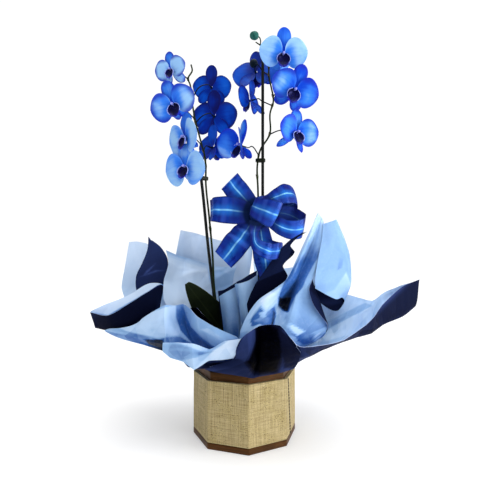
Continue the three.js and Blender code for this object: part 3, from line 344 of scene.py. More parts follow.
# %% Skin
class Skin:
    """Closed shapes that become one mesh. Points are in millimetres."""

    def __init__(self):
        self.points, self.faces, self.uvs, self.finishes = [], [], [], []
        self.marks = {}
        self.count = 0

    def add_points(self, points, **marks):
        points = np.asarray(points, float).reshape(-1, 3)
        first = self.count
        self.points.append(points)
        self.count += len(points)
        for name in set(self.marks) | set(marks):
            values = np.broadcast_to(np.asarray(marks.get(name, 0.0), float).ravel(), len(points))
            self.marks.setdefault(name, [np.zeros(first)]).append(values)
        return first

    def add_faces(self, faces, uvs, finish):
        self.faces.extend(np.asarray(faces).tolist())
        self.uvs.append(np.asarray(uvs, float).reshape(-1, 2))
        self.finishes.extend([finish] * len(faces))

    def add_grid(self, numbers, u, v, finish):
        """Faces over point numbers, with pattern coordinates at the same places."""
        places = np.stack(np.broadcast_arrays(u, v), -1)
        index = np.arange(numbers.size).reshape(numbers.shape)
        self.add_faces(quads(numbers), places.reshape(-1, 2)[quads(index)], finish)

    def slab(self, grid, thickness, u, v, finishes=(0, 0, 0), **marks):
        """A closed sheet on both sides of a grid: first finish on the side it faces, then back and edge."""
        out = normals_of(grid) * 0.5 * np.broadcast_to(thickness, grid.shape[:2])[..., None]
        doubled = {name: np.stack([value, value]) for name, value in marks.items()}
        first = self.add_points(np.stack([grid + out, grid - out]), **doubled)
        over = first + np.arange(grid.shape[0] * grid.shape[1]).reshape(grid.shape[:2])
        under = over + over.size
        u, v = np.broadcast_arrays(u, v)
        self.add_grid(over, u, v, finishes[0])
        self.add_grid(under[:, ::-1], u[:, ::-1], v[:, ::-1], finishes[1])
        for rim in (np.s_[0, ::-1], np.s_[-1, :], np.s_[:, 0], np.s_[::-1, -1]):
            self.add_grid(np.stack([under[rim], over[rim]]), np.stack([u[rim]] * 2), np.stack([v[rim]] * 2),
                          finishes[2])

    def rings(self, rings, u, v, finish=0, closed=False, **marks):
        """A skin over rings of points. Its ends are capped, or its last ring joins its first."""
        rings = np.asarray(rings, float)
        first = self.add_points(rings, **marks)
        numbers = first + np.arange(rings.shape[0] * rings.shape[1]).reshape(rings.shape[:2])
        wrapped = np.concatenate([numbers, numbers[:, :1]], axis=1)
        if closed:
            wrapped = np.concatenate([wrapped, wrapped[:1]])
        self.add_grid(wrapped, u, v, finish)
        if not closed:
            for ring, level in ((numbers[0][::-1], v[0]), (numbers[-1], v[-1])):
                self.add_faces([ring], [[0.5, level.flat[0]]] * len(ring), finish)

    def build(self, name, finishes, crease=40):
        """One mesh object of all the shapes, in metres. Edges sharper than crease degrees stay sharp."""
        mesh = bpy.data.meshes.new(name)
        mesh.from_pydata((np.concatenate(self.points) * MM).tolist(), [], self.faces)
        for finish in finishes:
            mesh.materials.append(finish.material)
        mesh.polygons.foreach_set("material_index", self.finishes)
        mesh.polygons.foreach_set("use_smooth", [True] * len(self.faces))
        layer = mesh.uv_layers.new(name="pattern")
        layer.data.foreach_set("uv", np.concatenate(self.uvs).ravel())
        for mark, values in self.marks.items():
            attribute = mesh.attributes.new(mark, "FLOAT", "POINT")
            attribute.data.foreach_set("value", np.concatenate(values).astype(np.float32))
        mesh.set_sharp_from_angle(angle=math.radians(crease))
        mesh.update()
        return show(name, mesh)

    def piece(self, node, look, slot, finishes, crease=40):
        """The finished piece that stands for a CAD node, named for the node and its look."""
        return settle(self.build(node + "_" + look, finishes, crease), slot, node)

# %% Tubes
def tube_rings(path, radii, sides):
    """Rings of points round a path, each turned as little as possible from the one before."""
    forward = np.gradient(path, axis=0)
    forward /= np.linalg.norm(forward, axis=1, keepdims=True)
    helper = (1.0, 0.0, 0.0) if abs(forward[0][0]) < 0.8 else (0.0, 1.0, 0.0)
    side = np.cross(forward[0], helper)
    angles = round_turn(sides)
    rings = []
    for point, ahead, radius in zip(path, forward, np.broadcast_to(radii, len(path))):
        side = side - ahead * side.dot(ahead)
        side /= np.linalg.norm(side)
        other = np.cross(ahead, side)
        rings.append(point + radius * (np.outer(np.cos(angles), side) + np.outer(np.sin(angles), other)))
    return np.array(rings)


def add_tube(skin, path, radii, sides=10, finish=0):
    """A closed tube along a path; the pattern runs round it and, in millimetres, along it."""
    path = np.asarray(path, float)
    length = run(np.linalg.norm(np.diff(path, axis=0), axis=1))
    skin.rings(tube_rings(path, radii, sides), np.linspace(0, 1, sides + 1)[None, :], length[:, None], finish)


def repaint(mesh, finish):
    mesh.materials.clear()
    mesh.materials.append(finish.material)


def ripple(x, y, seed):
    """Smooth noise from -1 to 1 at a place."""
    return noise.noise(Vector((x, y, seed * 7.31)))

# %% [markdown]
# ## Wood
# The base board and the wall that shows above the jute are stained dark brown, with a satin varnish. The
# grain runs along each board, so the pattern follows the piece's own map: round the pot, and up its side.
# Long thin streaks come from noise that is stretched along the board.

# %% Wood finish
POT_TURN = 4.6  # degrees that the near corner stands to the right of the front
POT_CORNER = 85.5
WALL_CORNER = 79.5
WALL = 5.0
WALL_TOP = 115
BASE_HEIGHT = 9.6
JUTE_TOP = 103
GAP = 0.3


def wood_finish():
    finish = Finish("stained wood", Specular_Tint=linear(200, 160, 110))
    place = finish.uv()
    grain = finish.grain(place, (0.018, 0.45, 1.0), 6.0, 0.6, 0.8)
    fine = finish.grain(place, (0.09, 2.6, 1.0), 3.0, 0.6)
    stain = finish.grain(place, (0.03, 0.05, 1.0))
    finish.coats((36, 20, 9), (grain.step(0.3, 0.7), (82, 49, 24)),
                 ((fine * stain).step(0.22, 0.5), (116, 76, 40)))
    finish.rough(0.42 + fine * 0.25)
    finish.bump(grain * 0.6 + fine * 0.4, 0.35)
    return finish


wood = wood_finish()
print("wood finish:", len(wood.nodes), "nodes")

# %% [markdown]
# ## Eight-sided pot
# The base board, the wall and the jute band are all one section swept round an octagon. Real boards have
# softened corners, and cloth turns a corner in a small curve, so each corner of the octagon is an arc.
# Sweeping a section gives that, with clean rows for the pattern map, where a bevelled block would need it
# added.

# %% Octagon sections
EIGHTH = math.radians(45)


def octagon_ring(corner, fillet, side_steps, arc_steps=4):
    """Points round an octagon of that corner radius, with rounded corners, and how far round each one is."""
    centre = corner - fillet / math.cos(EIGHTH / 2)

    def on_arc(middle, angle):
        return np.array([centre * math.sin(middle) + fillet * math.sin(angle),
                         -centre * math.cos(middle) - fillet * math.cos(angle)])

    points = []
    for k in range(8):
        middle = math.radians(POT_TURN) + EIGHTH * k
        points += [on_arc(middle, middle - EIGHTH / 2 + EIGHTH * s / arc_steps) for s in range(arc_steps + 1)]
        start, end = points[-1], on_arc(middle + EIGHTH, middle + EIGHTH / 2)
        points += [start + (end - start) * s / side_steps for s in range(1, side_steps)]
    ring = np.array(points)
    return ring, run(np.linalg.norm(np.diff(np.vstack([ring, ring[:1]]), axis=0), axis=1))


def swept(skin, section, fillet, side_steps, closed, wobble=None):
    """The section, pairs of corner radius and height, swept round the octagon."""
    turned = [octagon_ring(corner, fillet, side_steps) for corner, _ in section]
    rings = np.array([np.column_stack([ring, np.full(len(ring), height)])
                      for (ring, _), (_, height) in zip(turned, section)])
    if wobble is not None:
        outward = rings[..., :2] / np.linalg.norm(rings[..., :2], axis=-1, keepdims=True)
        rings[..., :2] += outward * wobble(rings)[..., None]
    heights = np.array(section)
    up = run(np.hypot(*np.diff(heights, axis=0).T))
    if closed:
        up = np.append(up, up[-1] + np.hypot(*(heights[0] - heights[-1])))
    skin.rings(rings, turned[0][1][None, :], up[:, None], closed=closed)


def rounded(corner, low, high, soft):
    """The outer side of a section with softened edges, from below upwards."""
    small = 0.3 * soft
    return [(corner - soft, low), (corner - small, low + small), (corner, low + soft),
            (corner, 0.5 * (low + high)), (corner, high - soft), (corner - small, high - small),
            (corner - soft, high)]


skin = Skin()
swept(skin, rounded(POT_CORNER, 0, BASE_HEIGHT, soft=0.9), fillet=2.5, side_steps=10, closed=False)
base = skin.piece("base_board", "stained", "wood", [wood])

wall_foot = BASE_HEIGHT + GAP
inner = WALL_CORNER - WALL
skin = Skin()
section = rounded(WALL_CORNER, wall_foot, WALL_TOP, soft=0.8)
section += [(inner + 0.8, WALL_TOP), (inner, WALL_TOP - 0.8), (inner, wall_foot + 0.5)]
swept(skin, section, fillet=3.0, side_steps=10, closed=True)
wall = skin.piece("pot_wall", "stained", "wood", [wood])
print("wood faces:", len(base.data.polygons) + len(wall.data.polygons))

# %% [markdown]
# ## Jute
# The band is a coarse plain weave glued round the pot. At this scale each yarn is about a millimetre wide,
# far too many to model one by one, so the weave is a height pattern: upright and lying yarns pass over each
# other in turn. What the eye reads from a distance is the unevenness, so yarns differ in colour and
# thickness, with a few thick slubs and dark gaps. The cloth itself is modelled with its soft corners, gentle
# waves and a proud upper edge.

# %% Jute finish and band
YARN_PITCH = 1.38


def jute_finish():
    finish = Finish("jute cloth", Sheen_Weight=0.15, Sheen_Roughness=0.6, Specular_IOR_Level=0.15)
    place = finish.uv()
    across, up, _ = finish.parts(place)
    sway = finish.grain(place, (0.05, 0.05, 1)) * 1.6
    x = (across + sway) * (1 / YARN_PITCH)
    y = (up + sway) * (1 / YARN_PITCH)
    odd = ((x.floor() + y.floor()) * math.pi + math.pi / 2).sine()  # 1 and -1 by turns, as on a chessboard
    upright = abs((x * math.pi).sine()) * (0.6 + odd * 0.4)
    lying = abs((y * math.pi).sine()) * (0.6 - odd * 0.4)
    weave = upright.above(lying)
    thick_up = finish.grain(place, (0.75, 0.02, 1), 3.0, 0.7)
    thick_across = finish.grain(place, (0.02, 0.75, 1), 3.0, 0.7)
    patches = finish.grain(place, (0.04, 0.04, 1), 3.0)
    specks = finish.grain(place, (0.5, 0.65, 1), 2.0, 0.7)
    holes = finish.grain(place, (0.42, 0.62, 1), 1.0, 0.5, 0.4)
    slubs = finish.grain(place, (0.09, 0.8, 1), 2.0, 0.6)
    finish.coats((164, 142, 92), ((thick_up * 0.55 + thick_across * 0.45).step(0.38, 0.62), (222, 204, 152)),
                 (patches.step(0.35, 0.75) * 0.4, (192, 172, 104)),
                 ((1 - weave).step(0.35, 0.95) * 0.6, (96, 74, 40)),
                 ((holes + patches * 0.35).step(0.84, 0.88) * 0.9, (70, 46, 22)),
                 (slubs.step(0.62, 0.7) * 0.5, (244, 230, 188)),
                 (specks.step(0.66, 0.78) * 0.6, (120, 88, 44)))
    finish.rough(0.8 + weave * 0.15)
    finish.bump(weave * 0.5 + thick_up * 0.3 + thick_across * 0.3, 0.9)
    return finish


def jute_wobble(rings):
    """Cloth that lies a little uneven on the wood, in millimetres."""
    wave = np.zeros(rings.shape[:2])
    for i, j in np.ndindex(wave.shape):
        x, y, z = rings[i, j]
        if math.hypot(x, y) > WALL_CORNER + 1:
            wave[i, j] = 0.35 * noise.noise(Vector((x * 0.05, y * 0.05, z * 0.04)))
    return wave


outer = [(POT_CORNER - 0.9, wall_foot), (POT_CORNER - 0.1, wall_foot + 0.5)]
outer += [(POT_CORNER - 0.1, level) for level in np.linspace(wall_foot + 1.5, JUTE_TOP - 1.6, 26)]
outer += [(POT_CORNER + 0.15, JUTE_TOP - 0.7), (POT_CORNER - 0.3, JUTE_TOP), (POT_CORNER - 1.2, JUTE_TOP)]
under_cloth = WALL_CORNER + GAP
outer += [(under_cloth + 0.3, JUTE_TOP - 0.2), (under_cloth, JUTE_TOP - 0.8), (under_cloth, wall_foot + 0.2)]
skin = Skin()
swept(skin, outer, fillet=4.0, side_steps=12, closed=True, wobble=jute_wobble)
band = skin.piece("jute_band", "woven", "jute", [jute_finish()])
print("jute faces:", len(band.data.polygons))

# %% [markdown]
# ## Geometry Nodes
# Stitches and bark chips repeat by the dozen. A small Geometry Nodes tree places them: points along a path or
# on a surface, one small shape on each, turned at random from a fixed seed. The tree ends in Realize
# Instances and Set Material, and its result is turned into a plain mesh before it joins the object.

# %% A helper for Geometry Nodes
class Recipe:
    """A Geometry Nodes tree with named inputs."""

    def __init__(self, name, **inputs):
        self.tree = bpy.data.node_groups.new(name, "GeometryNodeTree")
        socket = self.tree.interface.new_socket
        socket("Geometry", in_out="INPUT", socket_type="NodeSocketGeometry")
        for label, value in inputs.items():
            kind = {int: "Int", float: "Float"}[type(value)]
            socket(label, in_out="INPUT", socket_type="NodeSocket" + kind).default_value = value
        socket("Geometry", in_out="OUTPUT", socket_type="NodeSocketGeometry")
        self.start = self.tree.nodes.new("NodeGroupInput")
        self.end = self.tree.nodes.new("NodeGroupOutput")

    def given(self, label):
        return self.start.outputs[label]

    def node(self, kind, settings=None, output=0, **inputs):
        made = self.tree.nodes.new(kind)
        for key, value in (settings or {}).items():
            setattr(made, key, value)
        for label, value in inputs.items():
            socket = made.inputs[label.replace("_", " ")]
            if isinstance(value, bpy.types.NodeSocket):
                self.tree.links.new(value, socket)
            else:
                socket.default_value = value
        return made.outputs[output]

    def stand(self, points, shape, finish, **placing):
        """Ends the tree: the shape on each point, the instances made real and the finish set."""
        shape = self.node("GeometryNodeObjectInfo", Object=shape, output=4)
        spread = self.node("GeometryNodeInstanceOnPoints", Points=points, Instance=shape, **placing)
        real = self.node("GeometryNodeRealizeInstances", Geometry=spread)
        done = self.node("GeometryNodeSetMaterial", Geometry=real, Material=finish.material)
        self.tree.links.new(done, self.end.inputs["Geometry"])

    def grow(self, points, edges, faces, name, finish):
        """Runs the tree on a mesh of those points, in millimetres, and returns the result as a plain mesh."""
        bare = bpy.data.meshes.new(name + " carrier")
        bare.from_pydata((np.array(points, float) * MM).tolist(), edges, faces)
        carrier = show(name + " carrier", bare)
        modifier = carrier.modifiers.new("recipe", "NODES")
        modifier.node_group = self.tree
        evaluated = carrier.evaluated_get(bpy.context.evaluated_depsgraph_get())
        mesh = bpy.data.meshes.new_from_object(evaluated)
        mesh.name = name
        repaint(mesh, finish)
        mesh.polygons.foreach_set("material_index", [0] * len(mesh.polygons))
        carrier.modifiers.remove(modifier)
        bpy.data.objects.remove(carrier)
        return show(name, mesh)

# %% [markdown]
# ## The sewn edge
# Beside the right corner the cloth's cut end is sewn down with dark thread, in a seam that leans a little.
# Each stitch is a short fat thread that dips into the cloth at both ends.

# %% Stitches
SEAM_FOOT, SEAM_HEAD = (0.36, 12), (0.12, JUTE_TOP - 3)  # share of the way along the face, and height
SEAM_PROUD = 0.45
STITCH_LENGTH, STITCH_RADIUS = 3.0, 0.9
STITCH_ARCH = 0.7
STITCH_SUNK = 0.6

thread = two_tone("dark thread", 900, (14, 10, 6), (54, 40, 24), Roughness=0.8)


def on_face(share, height):
    """A place just proud of the right-hand jute face: share of the way to the next corner, and height."""
    first, second = (math.radians(POT_TURN) + EIGHTH * turn for turn in (1, 2))
    start = np.array([math.sin(first), -math.cos(first)])
    end = np.array([math.sin(second), -math.cos(second)])
    outward = (start + end) / np.linalg.norm(start + end)
    return *((POT_CORNER - 0.1) * (start + (end - start) * share) + outward * SEAM_PROUD), height


seam_path = [on_face(share, height) for share, height in np.linspace(SEAM_FOOT, SEAM_HEAD, 40)]
stitch_bend = [(STITCH_ARCH * (1 - (2 * t - 1) ** 2) - STITCH_SUNK, 0, STITCH_LENGTH * (t - 0.5))
               for t in np.linspace(0, 1, 6)]
skin = Skin()
add_tube(skin, stitch_bend, STITCH_RADIUS, sides=6)
stitch = skin.build("one stitch", [thread])

sewing = Recipe("stitches along a seam", Pitch=0.0052, Seed=4)
seam_curve = sewing.node("GeometryNodeMeshToCurve", Mesh=sewing.given("Geometry"))
seam_points = sewing.node("GeometryNodeResampleCurve", {"mode": "LENGTH"}, Curve=seam_curve,
                          Length=sewing.given("Pitch"))
lean = sewing.node("FunctionNodeRandomValue", {"data_type": "FLOAT_VECTOR"}, Min=(-0.1, -0.1, 2.2),
                   Max=(0.1, 0.1, 2.5), Seed=sewing.given("Seed"))
sewing.stand(seam_points, stitch, thread, Rotation=lean)
seam_edges = [(i, i + 1) for i in range(len(seam_path) - 1)]
seam = settle(sewing.grow(seam_path, seam_edges, [], "jute_seam_stitches", thread), "jute")
bpy.data.objects.remove(stitch)
print("stitch faces:", len(seam.data.polygons))

# %% [markdown]
# ## Grow pot and bark
# Inside the wooden wall stands a plain dark plastic liner, filled with chunky bark. Both show only from
# above, between the sheets. The liner is a turned wall with a rolled lip. The bark's body stays the CAD one,
# under a layer of loose chips that Geometry Nodes scatter over it.

# %% Liner
LINER_FLOOR, LINER_MOUTH = 47, 60.5  # its radii below and above
LINER_TOP = 110
LINER_WALL, LINER_BASE = 1.5, 2.5
LIP_HEIGHT, LIP_OVERHANG = 5, 1.2
BARK_TOP = 102

plastic = two_tone("dark plastic", (40, 40, 14), (20, 20, 22), (44, 44, 46), (0.3, 0.8), 4.0, 0.6, 0.15)
plastic.rough(0.35 + plastic.tone * 0.25)


def liner_radius(height):
    return LINER_FLOOR + (LINER_MOUTH - LINER_FLOOR) * (height - wall_foot) / (LINER_TOP - wall_foot)


def circle(radius, height, count):
    """Points round a level circle, from the front."""
    return [(radius * math.sin(a), -radius * math.cos(a), height) for a in round_turn(count)]


lip_foot, lip = LINER_TOP - LIP_HEIGHT, LINER_MOUTH + LIP_OVERHANG
section = [(0.5, wall_foot), (LINER_FLOOR - 1, wall_foot), (LINER_FLOOR, wall_foot + 1)]
section += [(liner_radius(z), z) for z in np.linspace(wall_foot + 8, lip_foot - 1, 8)]
section += [(lip - 0.2, lip_foot), (lip, lip_foot + 1), (lip, LINER_TOP - 1), (lip - 0.5, LINER_TOP - 0.2),
            (lip - 1.2, LINER_TOP), (LINER_MOUTH - LINER_WALL, LINER_TOP - 0.3)]
section += [(liner_radius(z) - LINER_WALL, z) for z in np.linspace(LINER_TOP - 4, wall_foot + 6, 8)]
section += [(LINER_FLOOR - LINER_WALL, wall_foot + LINER_BASE), (0.5, wall_foot + LINER_BASE)]
skin = Skin()
skin.rings([circle(radius, z, 72) for radius, z in section], 50 * np.linspace(0, 2 * math.pi, 73)[None, :],
           6.0 * np.arange(len(section))[:, None])
liner = skin.piece("grow_pot", "moulded", "liner", [plastic])
print("liner faces:", len(liner.data.polygons))

# %% Bark chips
CHIP_LENGTH, CHIP_WIDTH = 7.2, 4.6  # half of each
CHIP_LEVELS = ((-1.6, 0.62), (-0.9, 1.0), (0.7, 0.95), (1.5, 0.55))  # height of each ring, and its size
BED_SIDES = 48

bark = Finish("bark chips", Roughness=0.95)
fibres = bark.grain(bark.place(), (160, 400, 160), 4.0, 0.65)
tones = bark.grain(bark.place(), 75, 1.0)
bark.coats((48, 30, 18), (tones.step(0.3, 0.7), (110, 74, 46)),
           (fibres.step(0.45, 0.75) * 0.6, (142, 104, 70)))
bark.bump(fibres, 1.0)
repaint(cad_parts["bark"].data, bark)


def chip_shape():
    """One broken chip: a squared lump with uneven corners."""
    draw = random.Random(12)
    rings = [[(CHIP_LENGTH * size * math.cos(a) * draw.uniform(0.8, 1.1),
               CHIP_WIDTH * size * math.sin(a) * draw.uniform(0.8, 1.15), z + draw.uniform(-0.3, 0.3))
              for a in 0.3 + round_turn(7)] for z, size in CHIP_LEVELS]
    chip = Skin()
    chip.rings(rings, np.linspace(0, 1, 8)[None, :], np.arange(4.0)[:, None])
    return chip.build("one chip", [bark], crease=25)


def bark_bed():
    """A low mound in the liner's mouth for the chips to lie on: points, no loose edges, and faces."""
    reach = liner_radius(BARK_TOP) - LINER_WALL - 5
    points = [(0, 0, BARK_TOP)]
    for share in (0.35, 0.7, 1.0):
        points += circle(reach * share, BARK_TOP - 0.5 * share, BED_SIDES)
    turns = [(k, (k + 1) % BED_SIDES) for k in range(BED_SIDES)]
    faces = [(0, 1 + k, 1 + after) for k, after in turns]
    for at in (1, 1 + BED_SIDES):
        faces += [(at + k, at + BED_SIDES + k, at + BED_SIDES + after, at + after) for k, after in turns]
    return points, [], faces


scatter = Recipe("chips scattered over a bed", Spacing=0.0065, Smallest=0.5, Largest=1.05, Seed=3)
spots = scatter.node("GeometryNodeDistributePointsOnFaces", {"distribute_method": "POISSON"},
                     Mesh=scatter.given("Geometry"), Distance_Min=scatter.given("Spacing"),
                     Density_Max=60000.0, Seed=scatter.given("Seed"))
turn = scatter.node("FunctionNodeRandomValue", {"data_type": "FLOAT_VECTOR"}, Min=(-0.5, -0.5, 0.0),
                    Max=(0.5, 0.5, 6.28), Seed=5)
size = scatter.node("FunctionNodeRandomValue", {"data_type": "FLOAT"}, output=1, Seed=6)
# a random value has limits of each kind, and only those of its own kind are enabled
limits = [socket for socket in size.node.inputs if socket.enabled and socket.name in ("Min", "Max")]
for socket, label in zip(limits, ("Smallest", "Largest")):
    scatter.tree.links.new(scatter.given(label), socket)
chip = chip_shape()
scatter.stand(spots, chip, bark, Rotation=turn, Scale=size)
chips = settle(scatter.grow(*bark_bed(), "bark_chips", bark), "bark")
bpy.data.objects.remove(chip)
print("faces of the chips:", len(chips.data.polygons))

# %% [markdown]
# ## Stakes and clips
# Two dark coated stakes hold the spikes up, and a small plastic clip ties each spike to its stake. A stake is
# a tube along the same points as in the CAD model, with a little unevenness in its coat.

# %% Stakes and clips
STAKE_RADIUS = 2.5
STAKES = {
    "left_stake": "-31,4,30 -38,5,97 -53,4,232 -61,0,303 -71,-8,410 -76,-9,452",
    "right_stake": "31,0,30 31,0,98 30,0,283 30,-1,395 30,-2,622",
}

coated = two_tone("dark coated stake", (500, 500, 30), (4, 6, 4), (22, 27, 16), (0.35, 0.8), 3.0, depth=0.3,
                  Specular_IOR_Level=0.2)
coated.rough(0.3 + coated.tone * 0.3)

for name, route in STAKES.items():
    route = read_points(route)
    route[0][2] += GAP
    path = smooth(route, 4)
    radii = np.full(len(path), STAKE_RADIUS)
    radii[[0, -1]] *= 0.55
    radii[-2] *= 0.93
    skin = Skin()
    add_tube(skin, path, radii, sides=14)
    skin.piece(name, "coated", "stake", [coated])

clip_plastic = two_tone("green clip plastic", 220, (8, 14, 6), (20, 28, 12), depth=0.1, Roughness=0.35,
                        Specular_IOR_Level=0.15)
for name in ("left_clip", "right_clip"):
    repaint(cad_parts[name].data, clip_plastic)
print("stakes:", *STAKES)

# %% [markdown]
# ## Stems, crown and bud
# A spike thickens a little at each node, where a dry papery bract sits, and thins towards its tip. Each
# flower's stalk leaves from such a node. Tubes along smooth curves give this with the radius set point by
# point. The crown is a short swollen stock with thick roots that creep over the bark.

# %% Green finish
def green_finish(name, dark, light, bloom):
    """Smooth plant skin: long faint streaks, a few blotches and an uneven gloss."""
    finish = Finish(name, Specular_Tint=linear(80, 110, 80))
    streak = finish.grain(finish.uv(), (9, 0.06, 1), 3.0, 0.6)
    blotch = finish.grain(finish.place(), 70, 3.0, 0.6)
    finish.coats(dark, (streak.step(0.3, 0.75), light), (blotch.step(0.5, 0.8) * 0.6, bloom))
    finish.rough(0.4 + blotch * 0.25)
    finish.bump(streak, 0.15)
    return finish


stem_green = green_finish("olive stem", (14, 22, 12), (50, 60, 26), (14, 24, 28))
stalk_green = green_finish("flower stalk", (6, 14, 30), (10, 26, 50), (6, 12, 52))
root_green = green_finish("silvery root", (92, 100, 84), (150, 154, 138), (84, 92, 60))
bud_green = green_finish("bud", (22, 72, 66), (58, 120, 110), (30, 60, 76))
bract = Finish("dry bract", Roughness=0.8)
bract.coats((44, 36, 20), (bract.grain(bract.uv(), (6, 0.5, 1), 3.0).step(0.3, 0.7), (108, 94, 58)))
print("green finish:", len(stem_green.nodes), "nodes")

# %% Flowers' places and the spikes' routes
# where each flower stands, its azimuth, elevation and roll, its size, how far its lower sepals and petals
# lean out, and where they differ from the usual flower; its tones are how deep the blue of its petals and of
# its dorsal sepal is, and how broad the royal margin is
FLOWERS = {
    "left_1": dict(at=(-116, -40, 584), turn=(-20, -12, -6), size=0.72, lower=-15,
                   tones=(-0.3, 0.35, 0.75)),
    "left_2": dict(at=(-110, -46, 526), turn=(-10, -14, -20), size=1.0, lower=-45, tones=(0.12, 0.35, 0.95),
                   lower_angle=152, lower_size=0.72),
    "left_3": dict(at=(-92, -42, 477), turn=(-45, -8, -2), size=0.96, lower=-50, tones=(0.05, 0.25, 0.15),
                   petal=14, lower_angle=165, lower_size=0.6, petal_angle=94, petal_width=1.2,
                   dorsal_width=1.35),
    "left_4": dict(at=(-92, -44, 430), turn=(-24, -6, 0), size=0.94, lower=-32, tones=(0.02, 0.2, 0.1),
                   lower_angle=160, lower_size=0.62, petal_angle=99, petal_width=1.26, dorsal_width=1.4),
    "left_5": dict(at=(-58, 22, 585), turn=(172, 8, -4), size=0.9, lower=5, tones=(0.5, 1.25, 0.5)),
    "left_6": dict(at=(-53, 19, 534), turn=(166, 4, -4), size=1.06, lower=0, tones=(0.6, 1.15, 0.6)),
    "left_7": dict(at=(-55, 16, 479), turn=(142, 0, -8), size=0.95, lower=-28, tones=(0.6, 0.6, 0.3)),
    "right_1": dict(at=(61, -38, 609), turn=(4, -18, 2), size=1.0, lower=-60, tones=(0.02, 0.55, 0.0)),
    "right_2": dict(at=(78, -44, 550), turn=(6, -18, 20), size=1.02, lower=-35, tones=(0.36, 0.6, 0.95)),
    "right_3": dict(at=(82, -36, 486), turn=(26, -6, 4), size=0.98, lower=-20, tones=(0.3, 0.3, 0.8),
                    petal=20, lower_angle=132, lower_width=0.55),
    "right_4": dict(at=(19, 22, 611), turn=(166, -12, 0), size=0.98, lower=-8, tones=(0.45, 0.95, 0.4),
                    petal_size=1.16),
    "right_5": dict(at=(9, 8, 557), turn=(238, 0, 0), size=0.85, lower=-28, tones=(0.45, 0.6, 0.5),
                    petal=10),
    "right_6": dict(at=(-6, -30, 468), turn=(-42, -5, 8), size=1.05, lower=-30, tones=(0.6, 0.55, 0.5),
                    petal=48, lower_angle=150, lower_size=0.62, dorsal_width=0.6),
}
KNOB = {"centre": (15, 9, 621), "radii": (7, 6, 7.5)}  # the swollen ovary behind flower right_4
STUB_LENGTH = 12


def facing(flower):
    """The flower's own axes: across, up and out of its face."""
    a, e, r = np.radians(flower["turn"])
    face = np.array([math.sin(a) * math.cos(e), -math.cos(a) * math.cos(e), math.sin(e)])
    right = np.cross([0, 0, 1], face)
    right /= np.linalg.norm(right)
    up = np.cross(face, right)
    return right * math.cos(r) - up * math.sin(r), right * math.sin(r) + up * math.cos(r), face


SPIKES = {
    "left_spike": {
        "stem": "-10,3,121 -24,2,132 -36,1,152 -43,0,182 -51,-1,236 -54,-2,294 -60,-2,361 "
                "-65,-3,411 -66,-4,453 -75,-3,490 -82,-2,515 -88,-2,549 -92,-2,581 -95,-2,589 "
                "-88,-2,604 -90,-2,613",
        "stalks": {
            "left_1": "-95,-2,589 -104,-14,591",
            "left_2": "-83,-2,521 -96,-16,530",
            "left_3": "-69,-4,468 -74,-20,477",
            "left_4": "-66,-4,443 -75,-19,438",
            "left_5": "-88,-2,555 -76,-8,572",
            "left_6": "-82,-2,516 -70,-10,524",
            "left_7": "-66,-4,455 -68,-2,470",
        },
        "nodes": "-47.5,-0.5,210 -58,-2,338",
    },
    "right_spike": {
        "stem": "10,3,121 18,3,136 21,1,190 23,-4,303 22,-4,403 21,-3,445 26,5,472 42,5,499 "
                "43,4,536 48,3,553 44,2,579 41,2,593 39,2,623 26,0,647",
        "stalks": {
            "right_1": "40,2,612 53,-12,622",
            "right_2": "46,3,562 64,-14,566",
            "right_3": "42,5,499 60,-8,501",
            "right_4": "41,2,597 30,6.5,607 19,1.5,616",
            "right_5": "46,3.5,547 38,7,552 28,7.4,557",
            "right_6": "23,1,463 12,-9,474",
        },
        "nodes": "22.5,-3,245 22.3,-4,350 21.3,-3.5,425",
    },
}
BUD = {"centre": (16, 0, 663), "radii": (8.2, 6.8, 6.9)}
BUD_STALKS = ("26,0,647 26.5,0,654 24.5,0,660 20,0,662.5", "26,0,647 22,-1,649 18,-2,651")
print("flowers:", len(FLOWERS))

# %% Spikes
STEM_RADIUS, STALK_RADIUS = 1.8, 1.1
BRACT_SIZE = 4.4


def swollen(path, radius, knots, amount=0.4, reach=3.0):
    """Radii along a path that swell round each of some places."""
    away = np.linalg.norm(path[:, None, :] - np.array(knots, float)[None, :, :], axis=-1).min(axis=1)
    return radius * (1 + amount * np.exp(-(away / reach) ** 2))


def add_bract(skin, path, at, finish):
    """A little pointed scale that clasps the stem at a node."""
    near = np.clip(np.argmin(np.linalg.norm(path - np.array(at, float), axis=1)), 1, len(path) - 2)
    ahead = path[near + 1] - path[near - 1]
    ahead /= np.linalg.norm(ahead)
    out = np.cross(ahead, [0, 1, 0])
    out /= np.linalg.norm(out)
    side = np.cross(ahead, out)
    rows = []
    for t in np.linspace(0, 1, 7):
        spread = math.radians(100) * (1 - t) ** 0.7 + 0.05
        reach = BRACT_SIZE * (0.42 + 0.16 * t)
        rows.append([path[near] + ahead * (t * 2.6 - 0.9) * BRACT_SIZE * 0.5
                     + reach * (math.cos(w * spread) * out + math.sin(w * spread) * side)
                     for w in np.linspace(-1, 1, 9)])
    u, v = np.meshgrid(np.linspace(0, 1, 9), np.linspace(0, 4, 7))
    skin.slab(np.array(rows), 0.25, u, v, (finish,) * 3)


def stalk_path(flower, route):
    """A stalk from its node on the stem to the back of its flower."""
    face = facing(flower)[2]
    end = np.array(flower["at"], float) - face * (STUB_LENGTH * flower["size"] + GAP)
    return smooth(read_points(route) + [list(end - 5 * face), list(end)], 1.6)


